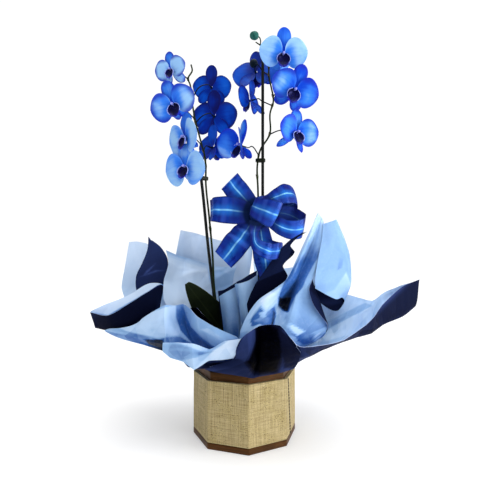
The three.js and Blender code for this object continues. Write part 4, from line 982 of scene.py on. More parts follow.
for name, spike in SPIKES.items():
    skin = Skin()
    stem = smooth(read_points(spike["stem"]), 2.5)
    starts = [read_points(route)[0] for route in spike["stalks"].values()] + read_points(spike["nodes"])
    add_tube(skin, stem, swollen(stem, STEM_RADIUS, starts) * np.linspace(1.12, 0.72, len(stem)), sides=14)
    for flower_name, route in spike["stalks"].items():
        path = stalk_path(FLOWERS[flower_name], route)
        add_tube(skin, path, STALK_RADIUS * np.linspace(1.0, 0.75, len(path)), finish=2)
    for route in BUD_STALKS if name == "right_spike" else ():
        path = smooth(read_points(route), 1.2)
        add_tube(skin, path, np.linspace(1.1, 0.9, len(path)))
    for at in starts:
        add_bract(skin, stem, at, 1)
    grown = skin.piece(name, "grown", "stem", [stem_green, bract, stalk_green])
    print("faces of the", name, len(grown.data.polygons))

# %% Bud, crown and roots
CROWN = {"centre": (0, 4, 117), "radii": (14, 12, 14)}
ROOT_ANGLES = (35, 95, 160, 225, 325)
ROOT_RADIUS = 2.2
root_level = BARK_TOP + GAP + ROOT_RADIUS + 0.2
# points along a root: how far out, how far turned, how high
ROOT_RUN = ((8, 0, 112), (17, 0, root_level + 1), (27, 0.1, root_level + 0.8), (36, -0.05, root_level))


def add_egg(skin, centre, radii, finish=0, around=28, down=18, shape=None, **marks):
    """A closed ball with three radii; shape changes its reach by direction."""
    rings = []
    for polar in np.linspace(0.02, math.pi - 0.02, down):
        ring = []
        for turn in round_turn(around):
            way = np.array([math.sin(polar) * math.cos(turn), math.sin(polar) * math.sin(turn),
                            -math.cos(polar)])
            reach = shape(turn, polar) if shape else 1.0
            ring.append(np.array(centre) + way * reach * np.array(radii))
        rings.append(ring)
    skin.rings(rings, np.linspace(0, 1, around + 1)[None, :], np.linspace(0, 2 * max(radii), down)[:, None],
               finish, **marks)


def bud_shape(turn, polar):
    """Three faint furrows where the sepals meet, and a slight point."""
    furrow = 0.05 * abs(math.cos(1.5 * turn)) ** 6 * math.sin(polar)
    return 1 - furrow - 0.05 * math.sin(polar) ** 8


def crown_shape(turn, polar):
    return 1 + 0.06 * noise.noise(Vector((math.cos(turn), math.sin(turn), polar * 2)))


skin = Skin()
add_egg(skin, **BUD, shape=bud_shape)
skin.piece("bud", "grown", "stem", [bud_green])

skin = Skin()
add_egg(skin, **CROWN, shape=crown_shape)
for angle in np.radians(ROOT_ANGLES):
    route = [(reach * math.sin(angle + turned), CROWN["centre"][1] - reach * math.cos(angle + turned), z)
             for reach, turned, z in ROOT_RUN]
    path = smooth(route, 1.5)
    widths = ROOT_RADIUS * np.array([1 + 0.12 * ripple(*(point[:2] * 0.3), 2) for point in path])
    widths[-3:] *= [0.95, 0.8, 0.5]
    add_tube(skin, path, widths, sides=12, finish=1)
crown = skin.piece("crown", "grown", "stem", [stem_green, root_green])
print("crown faces:", len(crown.data.polygons))

# %% [markdown]
# ## Leaves
# The leaves are thick straps with a groove along the middle, very dark green and half matt. Each one is a
# surface between its middle line and its two edges, thickest in the middle. The groove and the fine long
# veins follow the leaf's own map.

# %% Leaf finish and blades
# the middle line of each leaf, its width and the way its face runs from edge to edge
LEAVES = {
    "leaf_front_left": ("-5,-4,122 -36,-14,168 -63,-28,209 -90,-44,249", 48, (0.78, 0.35, 0.5)),
    "leaf_back_right": ("6,14,124 34,44,150 56,62,180 74,72,206", 48, (0.66, -0.75, 0.0)),
    "leaf_back_left": ("-8,12,124 -22,20,148 -34,26,168 -44,28,186", 30, (0.75, 0.6, -0.1)),
    "leaf_right": ("5,-3,121 26,-22,140 42,-32,156 56,-38,176", 32, (0.53, 0.85, 0)),
    "leaf_heart": ("1,8,128 4,16,152 4,22,174 0,30,198", 22, (0.95, 0.2, 0.1)),
}
LEAF_TIP = 0.12
LEAF_FOLD = 0.1
LEAF_RUFFLE = 0.7


def leaf_finish():
    finish = Finish("dark leaf", Specular_Tint=linear(90, 110, 80))
    off = abs(finish.parts(finish.uv())[0])
    middle = 1 - off.step(0.0, 0.09)
    veins = finish.grain(finish.uv(), (16, 0.012, 1), 3.0, 0.6)
    mottle = finish.grain(finish.place(), 60, 4.0, 0.6)
    finish.coats((7, 11, 6), (mottle.step(0.3, 0.75), (16, 22, 10)),
                 (veins.step(0.45, 0.8) * 0.3, (30, 38, 20)),
                 (off.step(0.9, 1.0) * 0.5, (70, 74, 44)), (middle * 0.3, (40, 48, 24)))
    finish.rough(0.36 + mottle * 0.2)
    finish.bump(veins * 0.5 + mottle * 0.5 - middle * 0.5, 0.35)
    return finish


leaf_green = leaf_finish()
columns = np.linspace(-1, 1, 17)
thick = 2.0 - 1.3 * columns ** 2 - 0.5 * np.exp(-(columns / 0.12) ** 2)
for name, (line, width, side) in LEAVES.items():
    spine = smooth(read_points(line), 2.2)
    toward = np.array(side) / np.linalg.norm(side)
    share = np.linspace(0, 1, len(spine))
    half = 0.5 * width * np.maximum(LEAF_TIP, np.sin(np.pi * (0.06 + 0.92 * share)) ** 0.7)
    grid = spine[:, None, :] + toward * (half[:, None] * columns)[..., None]
    grid[..., 2] += LEAF_FOLD * half[:, None] * np.abs(columns)
    for i, j in np.ndindex(grid.shape[:2]):
        grid[i, j, 2] += LEAF_RUFFLE * ripple(i * 0.12, j * 0.2, len(name)) * abs(columns[j])
    skin = Skin()
    skin.slab(grid, thick[None, :], columns[None, :], (share * 130)[:, None])
    skin.piece(name, "blade", "leaf", [leaf_green], crease=70)
print("leaves:", len(LEAVES))

# %% [markdown]
# ## Flowers
# A moth orchid's flower has three narrower sepals behind, two broad round petals, and in the middle a small
# dark lip under a short column. These are dyed blue: pale sky blue in the middle of a petal, royal blue
# towards its margin and on its back. Every petal here is the CAD one on a fine grid, with a rounded outline,
# thin margins and a slight ruffle. Colour follows marks on the points: `margin` rises towards the outline, and
# `deep` says how dark this flower or petal is, with painted shade that runs across and along each petal. Each
# petal's foot, round the lip, is darker too: deeper blue, with painted shade over it. The lip is nearly black
# inside and indigo at its tip and sides. No two flowers took up the dye alike, which is why the table of
# flowers gives each one tones of its own.

# %% Petal finishes
def petal_finish(name, pale, mid, royal, edge):
    finish = Finish(name, Specular_Tint=linear(120, 190, 255), Specular_IOR_Level=0.3)
    across, along, _ = finish.parts(finish.uv())
    margin = finish.mark("margin")
    veins = finish.grain(finish.uv(), (7, 0.45, 1), 3.0, 0.6, 0.4)
    clouds = finish.grain(finish.place(), 38, 3.0, 0.55)
    pools = finish.grain(finish.place(), 24, distortion=0.8)
    # the foot of each petal is darker: deeper blue, with painted shade round the lip
    heart = (1 - along.step(0.05, 0.62)) * (1 - abs(across).step(0.35, 1.0) * 0.8)
    tone = finish.mark("deep") + (clouds - 0.5) * 0.5 + (pools - 0.5) * 0.7 + (veins - 0.5) * 0.35
    tone = tone + margin * 0.3 + heart * 0.55
    rim = (margin + (clouds - 0.5) * 0.3).step(0.35, 0.9)
    finish.coats(pale, (tone.step(0.0, 0.5), mid), (tone.step(0.4, 1.0), royal), (tone.step(1.0, 1.7), edge),
                 (rim * 0.85, edge))
    finish.rough(0.4 + clouds * 0.2)
    finish.bump(veins * 0.7 + clouds * 0.3, 0.35)
    return finish


def lip_finish():
    """Near-black in the throat, indigo outwards, and pale along the side lobes' rims."""
    finish = Finish("lip", Roughness=0.4, Specular_Tint=linear(90, 100, 220))
    spots = finish.grain(finish.place(), 500)
    finish.coats((5, 4, 26), (spots.step(0.4, 0.75), (16, 12, 78)),
                 ((finish.mark("deep") + (spots - 0.5) * 0.6).step(0.3, 1.0), (36, 40, 178)),
                 (finish.mark("margin").step(0.55, 0.95), (160, 176, 246)))
    finish.bump(spots, 0.2)
    return finish


petal_front = petal_finish("petal face", (152, 198, 246), (56, 128, 238), (8, 62, 205), (30, 34, 176))
petal_back = petal_finish("petal back", (40, 136, 232), (6, 84, 208), (4, 42, 158), (16, 12, 96))
lip_indigo = lip_finish()
column_pale = two_tone("column", 400, (96, 100, 214), (168, 176, 242), Roughness=0.35)
BLOOM = [petal_front, petal_back, lip_indigo, column_pale, stalk_green]
print("petal finish:", len(petal_front.nodes), "nodes")
PETAL_FINISHES, LIP_FINISH, COLUMN_FINISH, STALK_FINISH = (0, 1, 0), (2, 2, 2), 3, 4  # their numbers in BLOOM

# %% Petals and sepals
PETAL = dict(length=39, width=44, bluntness=0.55, widest=0.86, cup=1.5, curl=4, lift=0.5)
SEPAL = dict(length=40, width=23, bluntness=0.46, widest=1.4, cup=-1.5, curl=2, lift=-1.2)
LOWER_SEPAL = dict(length=36, width=21, bluntness=0.5, widest=1.3, cup=-1.5, curl=2, lift=-1.2)
PETAL_ANGLE, PETAL_LEAN = 80, 8  # degrees from the top, and out of the flower's plane
LOWER_ANGLE, DORSAL_LEAN = 138, -4
PETAL_START = 2.16
CLAW = 1.3
RUFFLE = 1.6
PETAL_GRID = (24, 17)
LOWER_DEEPER = 0.2  # how much deeper the blue of the lower sepals is than the petals'


def tepal(form, angle, lean, longer, wider, seed):
    """One petal or sepal in the flower's axes: its grid, and its across, along and margin marks."""
    rows, columns = PETAL_GRID
    along = 1 - (1 - np.linspace(0, 1, rows)) ** 1.5
    across = np.sin(np.linspace(-1, 1, columns) * math.pi / 2 * 0.94) / math.sin(math.pi / 2 * 0.94)
    a, tilt = math.radians(angle), math.radians(lean)
    bulge = np.maximum(0, np.sin(np.pi * along ** form["widest"])) ** form["bluntness"]
    side = np.maximum(0.5 * form["width"] * wider * bulge, CLAW)[:, None] * across
    reach = PETAL_START + (form["length"] * longer - PETAL_START) * along
    flat = (reach * math.cos(tilt))[:, None]
    rise = form["cup"] * across ** 2 * np.sin(np.pi * np.minimum(1, 1.1 * along))[:, None]
    out = (reach * math.sin(tilt) - form["curl"] * along ** 3 + form["lift"])[:, None] + rise
    wave = np.array([[ripple(3.6 * t, w * 2.2, seed) for w in across] for t in along])
    out = out + wave * RUFFLE * across ** 2 * along[:, None]
    right, up = math.sin(a) * flat + math.cos(a) * side, math.cos(a) * flat - math.sin(a) * side
    margin = np.maximum(np.abs(across)[None, :] ** 3 * np.clip(along / 0.35, 0, 1)[:, None] ** 1.2,
                        np.clip((along - 0.5) / 0.5, 0, 1)[:, None] ** 2.4)
    return np.stack([right, up, out], -1), across[None, :], along[:, None], np.clip(margin, 0, 1)

# %% Lip, column and stub
# the lip's middle lobe, from the column outwards: how far out, how high, and half its width
LIP_LOBE = read_points("1.5,0,2.6 4.2,-3,5.2 5.6,-6.5,7.6 7.2,-10.5,8.4 9.2,-14,8 10.8,-16.8,6.2 "
                       "11.6,-18.8,2.6")
SIDE_LOBE = rows(4, """
    .6,1.6,2.5 2.2,-1.8,3.5 3,-5,4.5 3,-8.5,6
    3.2,2.2,3.6 6.4,-1.6,4.8 7.4,-6.2,6.2 6.2,-10.6,7.4
    4.6,1.8,5.4 9.2,-2.6,7 10.2,-7.8,8.6 8.2,-12.6,9.4
    4.8,1.2,7.6 9.6,-3,9.4 10.6,-8,11 8.6,-12.8,11.4""")
COLUMN = read_points("0,0,0 0,1.6,3 0,2.2,6 0,1.4,8.6 0,.3,9.8")


def unit_map(grid):
    """A pattern map over a grid: -1 to 1 across it, 0 to 1 along it."""
    return np.meshgrid(np.linspace(-1, 1, grid.shape[1]), np.linspace(0, 1, grid.shape[0]))


def add_lip(skin, placed):
    """The three-lobed lip, a small cup under the column, in the flower's own axes."""
    lobe = [[(-half, up, out + 2.6), (-0.5 * half, up - 0.3, out + 0.6), (0, up, out),
             (0.5 * half, up - 0.3, out + 0.6), (half, up, out + 2.6)] for out, up, half in LIP_LOBE]
    grid = smooth_surface(lobe, 1.6)
    u, v = unit_map(grid)
    skin.slab(placed(grid), 0.7, u, v, LIP_FINISH, margin=u * 0,
              deep=np.clip(0.5 * np.abs(u) ** 2 + 1.5 * (v - 0.5), 0, 1))
    for hand in (-1, 1):
        grid = smooth_surface(SIDE_LOBE, 1.6) * (hand, 1, 1)
        u, v = unit_map(grid)
        skin.slab(placed(grid), 0.6, u, v, LIP_FINISH, margin=np.clip(v * 1.1, 0, 1) ** 2.5, deep=v * 0.8)


def add_middle(skin, placed, size):
    """The column over the lip, and the stub of stalk behind the flower."""
    path = smooth(COLUMN, 0.8)
    radii = np.interp(np.linspace(0, 1, len(path)), [0, 0.5, 0.85, 1], [2.0, 2.2, 1.9, 0.7])
    add_tube(skin, placed(path), radii * size, 12, COLUMN_FINISH)
    shares = np.linspace(0, 1, 8)
    stub = [(0, 0, -STUB_LENGTH * t) for t in shares]
    add_tube(skin, placed(stub), np.interp(shares, [0, 0.3, 1], [2.6, 1.5, 1.1]) * size, 10, STALK_FINISH)

# %% Thirteen flowers
def make_flower(name, flower, number):
    axes = np.stack(facing(flower)) * flower["size"]
    deep, dorsal_deep, rim = flower["tones"]
    uneven = deep > 0.55

    def placed(points):
        return np.asarray(points) @ axes + np.array(flower["at"], float)

    def own(setting, usual=1.0):
        return flower.get(setting, usual)

    parts = [(SEPAL, 0, DORSAL_LEAN, dorsal_deep, 1.0, own("dorsal_width"))]
    for form, angle, lean, tone, longer, wider in (
            (LOWER_SEPAL, own("lower_angle", LOWER_ANGLE), flower["lower"], deep + LOWER_DEEPER,
             own("lower_size"), own("lower_width")),
            (PETAL, own("petal_angle", PETAL_ANGLE), own("petal", PETAL_LEAN), deep,
             own("petal_size"), own("petal_width"))):
        parts += [(form, hand * angle, lean, tone, longer, longer * wider) for hand in (-1, 1)]
    draw = random.Random(number + 3)
    skin = Skin()
    for k, (form, angle, lean, tone, longer, wider) in enumerate(parts):
        grid, u, v, margin = tepal(form, angle, lean, longer, wider, number * 5 + k)
        margin = margin ** (1.2 - 0.8 * rim) * min(0.3 + 1.1 * rim, 1)
        # painted shade that grows across and along each petal, stronger in the darker flowers
        turned = (draw.uniform(-0.2, 0.2) * u + draw.uniform(-0.1, 0.2) * v) * (1 + 1.5 * uneven)
        tone = tone + draw.uniform(-0.14, 0.14) * (1 + uneven) + turned
        thick = (0.95 - 0.6 * margin) * flower["size"]
        skin.slab(placed(grid), thick, u, v, PETAL_FINISHES, margin=margin, deep=tone)
    add_lip(skin, placed)
    add_middle(skin, placed, flower["size"])
    if name == "right_4":
        add_egg(skin, **KNOB, finish=STALK_FINISH)
    return skin.piece("flower_" + name, "bloom", "petal", BLOOM, crease=75)


for number, (name, flower) in enumerate(FLOWERS.items()):
    bloom = make_flower(name, flower, number)
print("faces of one flower:", len(bloom.data.polygons))

# %% [markdown]
# ## Wrapping paper
# The sheets are stiff two-sided paper: pale blue on one side, navy on the other. They are tucked between the
# liner and the pot's wall, open out over the rim, and fold back at their edges, so both colours show. Each
# sheet is a smooth surface through rows of points, as in the CAD model, then creased: straight creases with
# flat sides and slow waves in the mesh, and small crumples in the finish, flat facets in relief, each with a
# painted shade of its own. Simulating a stiff creased sheet would flatten exactly the folds that matter, so
# the sheets are modelled directly.

# %% Paper finishes
def paper_finish(name, shades, worn, roughness, gloss, tint):
    """Pulp, faint cloud, crumples in relief and painted shade; painted `shade` runs from first colour to last.
    """
    finish = Finish(name, Specular_Tint=tint, Specular_IOR_Level=gloss)
    cloud = finish.grain(finish.place(), 13, 3.0, 0.55)
    pulp = finish.grain(finish.place(), 260, 3.0, 0.6)
    tones, ridges = 0, 0
    # each crumple cell gets a painted shade of its own, sloping across it as a flat facet's shading would; the
    # ridges along the cells' edges are their relief
    for width, length, strength in ((40, 90, 0.26), (13, 26, 0.14)):
        cells = {"Vector": finish.stretch(finish.uv(), (1 / width, 1 / length, 1)), "Scale": 1.0}

        def voronoi(output, **settings):
            return finish.node("ShaderNodeTexVoronoi", dict(settings, voronoi_dimensions="2D"), cells, output)

        grey, lean, _ = finish.parts(voronoi("Color"))
        tones = (grey - 0.5 + (lean - 0.5) * voronoi("Distance")) * strength + tones
        ridges = voronoi("Distance", feature="DISTANCE_TO_EDGE") * (width / 46) + ridges
    crumple = finish.mark("crumple")
    # the shade mark and the cells' tones are painted light and shade, and the crumple mark sets how strongly
    # the cells show, in painted shade and in relief
    shade = finish.mark("shade") + (cloud - 0.5) * 0.12 + tones * crumple
    bands = ((-0.5, 0.0), (0.0, 0.5), (0.45, 1.1), (1.2, 1.9))
    finish.coats(shades[0], *((shade.step(*band), colour) for band, colour in zip(bands, shades[1:])),
                 ((pulp - 0.5) * 0.25, worn))
    finish.rough(roughness + pulp * 0.15)
    finish.bump(ridges * crumple, 4.0)
    return finish


pale_paper = paper_finish(
    "pale blue paper", ((208, 228, 252), (180, 208, 240), (138, 176, 220), (46, 92, 162), (5, 10, 26)),
    (222, 230, 246), 0.45, 0.2, linear(170, 205, 255))
navy_paper = paper_finish(
    "navy paper", ((66, 84, 146), (38, 51, 96), (22, 31, 64), (8, 12, 32), (0, 0, 2)),
    (32, 38, 76), 0.5, 0.02, linear(90, 100, 150))
paper_edge = two_tone("cut paper edge", 90, (130, 156, 206), (196, 212, 242), detail=1.0, Roughness=0.7)
print("paper finish:", len(pale_paper.nodes), "nodes")

# %% Where a sheet is tucked in
RINGS = {"a": 62.6, "b": 64.2, "c": 66.2, "d": 67.8}  # circles round the liner on which sheets stand
TUCK = 108
CLEAR = 119


def ring_row(name, start, stop, z, count):
    """A row of points on one of the circles, by angle from the front."""
    angles = np.radians(np.linspace(start, stop, count))
    return [[RINGS[name] * math.sin(a), -RINGS[name] * math.cos(a), z] for a in angles]


def tucked(name, start, stop, count):
    """The two rows of a sheet's foot, the lower one first."""
    return [ring_row(name, start, stop, z, count) for z in (TUCK, CLEAR)]


def footed(name, angles, first, wide_rows):
    """Rows that each begin, or else end, tucked in on a circle at an angle of their own."""
    feet = [[point for row in tucked(name, angle, angle, 1) for point in row] for angle in angles]
    return [foot + row if first else row + foot[::-1] for foot, row in zip(feet, wide_rows)]

# %% Where the sheets run
PAPER = {
    # left wing, a gutter: near edge, bottom, far wall, far edge, each from the tip to the pot
    "left_wing": footed("b", (-62, -84, -100, -114), False, rows(7, """
    -247,-30,202 -210,-52,200 -173,-62,220 -145,-66,237 -124,-62,247 -134,-58,224 -140,-54,198
    -243,-20,175 -210,-36,173 -172,-46,178 -150,-50,184 -136,-48,180 -128,-46,170 -92,-44,150
    -253,-4,183 -221,-6,178 -184,-6,189 -154,-8,203 -132,-10,194 -116,-10,176 -87,-10,147
    -256,-8,201 -235,14,212 -207,22,223 -165,20,246 -138,8,244 -118,2,218 -88,-2,180""")),
    # navy corner that curls over behind the left wing
    "left_curl": tucked("d", -108, -122, 4) + rows(4, """
    -165,20,207 -154,18,202 -140,12,199 -127,6,198
    -193,36,233 -174,30,227 -155,22,224 -131,10,232
    -194,38,256 -174,28,262 -152,18,260 -131,10,261
    -184,40,283 -169,28,288 -150,18,290 -133,14,288
    -176,42,310 -167,34,311 -156,28,311 -147,24,309
    -175,44,329 -171,42,326 -168,40,323 -164,38,321"""),
    "back_left": tucked("d", -132, -150, 4) + rows(4, """
    -213,50,203 -188,52,192 -159,52,185 -134,54,181
    -228,62,235 -195,66,239 -163,70,246 -138,74,250
    -222,66,283 -201,72,285 -180,76,284 -150,80,276
    -217,70,321 -204,76,322 -188,80,318 -166,84,303"""),
    "inner_left": tucked("a", -104, -168, 5) + rows(5, """
    -86,-18,156 -80,-14,160 -70,-2,162 -52,34,152 -24,56,140
    -120,-22,200 -101,-20,188 -84,-10,184 -64,24,176 -31,50,168
    -132,-18,222 -111,-12,215 -90,8,209 -66,34,203 -28,50,193
    -134,-6,253 -112,14,249 -90,36,243 -66,46,236 -24,58,232
    -127,0,283 -108,36,274 -86,50,269 -62,58,264 -21,66,261
    -132,4,303 -107,42,291 -84,54,284 -60,62,276 -17,70,272"""),
    "back_panel": tucked("d", -154, -177, 4) + rows(4, """
    -126,72,190 -89,78,182 -48,82,177 -3,84,177
    -141,88,238 -107,96,241 -58,102,241 5,104,241
    -136,96,291 -105,104,296 -50,110,296 13,112,300
    -126,100,346 -100,108,341 -47,114,326 13,116,332"""),
    # pale sheet with a deep fold, low on the front left
    "left_front": tucked("c", -104, -22, 9) + rows(9, """
    -72,14,126 -77,-2,127 -76,-18,129 -72,-34,131 -66,-46,133 -57,-55,134 -47,-63,134 -37,-68,132
    -26,-72,130
    -216,-50,177 -178,-62,168 -145,-72,163 -115,-84,158 -92,-74,147 -70,-66,144 -46,-80,144 -23,-88,147
    -1,-92,154
    -212,-48,178 -173,-66,177 -141,-80,178 -114,-90,178 -95,-72,167 -81,-60,162 -59,-80,162 -31,-92,161
    -4,-93,163
    -202,-48,180 -167,-72,187 -137,-88,195 -113,-95,203 -101,-68,191 -92,-56,186 -67,-84,183 -38,-94,175
    -6,-94,170
    -191,-50,180 -160,-74,194 -136,-88,208 -113,-94,220 -101,-74,217 -93,-62,218 -68,-84,202 -43,-92,189
    -10,-95,175"""),
    # pale corner that hangs over the rim
    "front_left": rows(6, """
    -105,-96,145 -86,-98,140 -70,-102,130 -49,-104,143 -31,-104,144 -14,-106,147
    -115,-98,155 -93,-106,159 -71,-114,158 -50,-110,157 -30,-116,162 -6,-120,166
    -114,-100,167 -92,-104,168 -71,-108,166 -49,-98,157 -26,-116,173 -1,-122,178
    -106,-92,158 -90,-94,156 -68,-98,154 -47,-94,150 -26,-106,160 -7,-110,166
    -82,-80,128 -68,-88,128 -52,-92,131 -34,-94,134 -18,-95,138 -6,-96,142""")
    + tucked("d", -58, -20, 6)[::-1],
    # two small rolls beside the stems, each a gutter that stands upright
    "roll_left": rows(4, """
    -40,-36,228 -29,-42,235 -18,-38,241 -9,-28,247
    -36,-38,203 -26,-46,209 -13,-42,215 -4,-32,223
    -30,-48,160 -24,-53,160 -15,-52,162 -8,-46,166
    -24,-46,114 -20,-48,114 -16,-48,114 -12,-46,114
    -24,-42,102.9 -20,-43,102.9 -16,-43,102.9 -12,-42,102.9
    -24,-37,114 -20,-38,114 -16,-38,114 -12,-36,114
    -30,-38,160 -24,-40,160 -15,-38,162 -8,-34,166
    -40,-26,206 -33,-26,210 -20,-24,216 -9,-20,222
    -43,-26,236 -35,-24,237 -24,-20,243 -14,-18,249"""),
    "roll_right": rows(4, """
    -15,-50,248 -5,-56,250 7,-54,254 21,-44,263
    -10,-50,222 0,-57,226 10,-55,230 20,-46,239
    -2,-58,171 4,-62,175 10,-60,181 16,-54,189
    -6,-50,114 -2,-52,114 3,-52,114 8,-50,114
    -6,-46,102.9 -2,-47,102.9 3,-47,102.9 8,-46,102.9
    -6,-41,114 -2,-42,114 3,-42,114 8,-40,114
    -2,-48,171 4,-48,175 10,-46,181 15,-42,189
    -9,-42,222 0,-42,226 8,-40,232 17,-36,240
    -13,-42,251 -4,-38,255 7,-36,262 20,-36,269"""),
    # navy back wall of the middle roll
    "centre": tucked("a", 8, 28, 4) + rows(4, """
    9,-84,192 20,-82,197 35,-78,202 50,-74,212
    4,-76,220 19,-76,226 34,-76,232 49,-74,239
    16,-71,248 33,-71,252 49,-71,257 65,-71,261
    27,-68,264 39,-68,269 49,-68,273 58,-68,276
    40,-65,282 52,-65,288 64,-65,293 76,-66,297
    53,-62,300 59,-62,302 66,-62,304 70,-62,306
    70,-59,316 73,-59,316 76,-59,317 80,-59,318
    88,-57,326 90,-57,327 93,-57,327 96,-57,328"""),
    # tall sheet: its free left edge sweeps from the front of the pot up to the tip
    "tall_sheet": tucked("b", 8, 64, 9) + rows(9, """
    -5,-100,183 9,-105,185 24,-106,185 40,-98,182 56,-104,181 74,-100,174 93,-94,175 122,-86,190
    120,-89,192
    3,-97,202 17,-103,206 33,-98,206 49,-84,203 66,-96,203 82,-92,203 100,-88,202 117,-88,204
    110,-93,205
    20,-93,226 30,-99,228 45,-88,225 60,-66,220 73,-86,221 86,-83,221 99,-81,220 112,-83,222 99,-89,223
    45,-88,243 52,-91,244 62,-78,242 72,-64,240 81,-78,241 90,-78,242 97,-77,242 105,-78,242 95,-83,242
    60,-84,254 65,-86,255 73,-74,255 81,-62,255 89,-72,255 95,-72,255 99,-72,255 103,-72,254 100,-75,253
    77,-64,282 81,-66,282 88,-56,282 97,-46,282 103,-52,282 107,-54,282 112,-54,282 116,-52,282
    119,-50,282
    96,-38,317 100,-40,317 106,-34,317 114,-26,318 118,-30,318 122,-31,318 125,-31,318 128,-30,318
    130,-29,318
    121,-14,363 123,-12,362 125,-10,359 127,-9,357 128,-9,355 129,-9,352 130,-9,350 130,-9,347
    131,-10,345"""),
    # cone that curls forward, from its tucked-under edge up to its tip
    "cone": rows(7, """
    105,-76,243 123,-68,233 141,-54,225 157,-32,225 161,-26,220 150,-30,205 110,-44,223
    105,-76,254 124,-68,251 147,-52,248 172,-24,245 174,-12,241 151,-22,231 109,-40,241
    109,-68,273 130,-60,274 155,-45,274 175,-20,271 177,-4,269 158,-8,266 126,-20,269
    117,-50,301 137,-44,303 157,-32,302 174,-10,296 176,2,296 160,2,296 135,-8,299
    123,-36,320 139,-33,322 154,-26,324 168,-6,318 169,3,318 159,4,320 139,-2,320
    128,-16,345 135,-15,347 144,-12,350 153,-6,353 153,-2,351 146,-3,349 135,-6,346"""),
    # right wing, a gutter like the left one: near edge, bottom, far wall, far edge, from the pot to the tip
    "right_wing": footed("c", (50, 66, 82, 98, 114), True, rows(9, """
    57,-80,134 60,-124,176 76,-128,168 106,-124,170 139,-114,174 174,-92,191 208,-64,217 255,-30,245
    286,-16,254
    64,-58,125 62,-100,147 82,-104,150 110,-100,157 145,-90,164 181,-74,175 218,-54,187 251,-32,196
    277,-16,209
    73,-32,123 77,-60,127 96,-68,144 123,-66,156 158,-54,165 193,-40,178 228,-26,192 256,-16,202
    275,-10,213
    74,-8,126 82,-28,138 105,-34,164 134,-28,183 168,-20,191 202,-12,200 233,-8,215 258,-8,226
    276,-8,233
    70,24,138 94,6,176 130,0,219 168,6,229 191,8,223 216,6,217 241,2,232 259,-4,243 277,-10,249""")),
    # navy sheet over the front rim
    "front": tucked("d", -14, 38, 9) + rows(9, """
    -57,-84,126 -36,-89,122 -16,-92,120 3,-93,117 12,-92,115 23,-93,118 37,-92,120 55,-90,123 72,-87,127
    -11,-112,149 -2,-120,150 6,-126,148 14,-122,147 20,-104,144 26,-122,150 38,-127,153 57,-122,153
    77,-110,146
    -10,-124,160 -2,-133,167 6,-139,171 14,-134,173 19,-114,171 25,-136,177 35,-143,179 53,-139,175
    76,-128,160
    -10,-130,168 -3,-136,180 5,-140,188 13,-138,194 19,-128,195 24,-138,198 33,-142,200 48,-140,198
    67,-134,173"""),
    # sheets behind the plant
    "back": tucked("d", -180, -226, 5) + rows(5, """
    -14,92,150 14,98,152 45,98,152 80,88,150 104,68,150
    8,126,210 28,138,205 60,140,200 100,124,205 136,96,205
    16,150,262 34,166,250 66,172,238 112,152,244 156,114,262
    18,162,292 40,186,282 76,194,268 122,172,276 168,126,308"""),
    "back_right": tucked("d", 108, 130, 4) + rows(4, """
    94,24,158 94,38,156 90,50,154 84,60,152
    138,30,206 142,48,202 138,64,200 126,78,200
    170,36,250 180,54,250 174,76,248 156,94,240
    178,38,274 190,56,273 186,84,270 168,106,262"""),
}

# inner layers of a sheet, which show past its edge
LAYERS = {
    "left_front": [
        rows(4, "-122,-66,156 -151,-60,160 -184,-52,167 -218,-44,176 "
                "-123,-64,148 -151,-58,155 -185,-50,164 -219,-42,174"),
        rows(4, "-45,-74,183 -61,-70,191 -77,-66,199 -87,-62,205 "
                "-47,-70,189 -60,-68,201 -71,-66,213 -84,-62,212"),
    ],
}

# how a sheet differs from the usual one: whether its face is the pale side, how much it curves between its
# folds, how much painted shade it takes on top of that from its slope, and how strongly it creases and
# crumples, the crumples in relief and in painted shade
SHEETS = {
    "left_wing": dict(pale=True, ease=0.85, inside=0.05, crease=0.6, crumple=0.4),
    "left_curl": dict(ease=0.9, crease=0.4, crumple=0.3),
    "back_left": dict(pale=True, inside=0.1),
    "inner_left": dict(pale=True, inside=0.12),
    "back_panel": dict(pale=True, inside=0.22),
    "left_front": dict(pale=True, inside=0.26, crease=1.1),
    "front_left": dict(pale=True, ease=0.25, inside=0.08),
    "roll_left": dict(ease=0.9, inside=0.3, crease=0.15, crumple=0.15),
    "roll_right": dict(ease=0.9, inside=0.25, crease=0.15, crumple=0.15),
    "centre": dict(crease=0.3),
    "tall_sheet": dict(pale=True, ease=0.8, inside=0.3, crease=0.4, crumple=1.2),
    "cone": dict(pale=True, ease=0.75, inside=0.26, crease=0.4, crumple=0.7),
    "right_wing": dict(pale=True, inside=0.2, crease=1.6, crumple=1.8),
    "front": dict(crease=0.7, crumple=0.8),
    "back": dict(pale=True),
    "back_right": dict(pale=True),
}
PAPER_EASE = 0.5  # paper runs straighter than a curve between its folds
print("sheets:", len(PAPER))

# %% [markdown]
# ## Creasing a sheet
# A sheet is creased along its own normals, fully where it is free and not at all where it is tucked in
# between its neighbours.

# %% Creases
SEAT, FREE = 116, 150  # below the first height a sheet stays as it is, and above the second it creases fully
# long folds and short ones: their depths, widths and reaches, and the area of paper that holds one
FOLDS = (((1.5, 3.6), (16, 42), (50, 130), 3200), ((0.5, 1.2), (4, 9), (12, 30), 1500))
WAVE = 1.5  # how far the slow waves rise


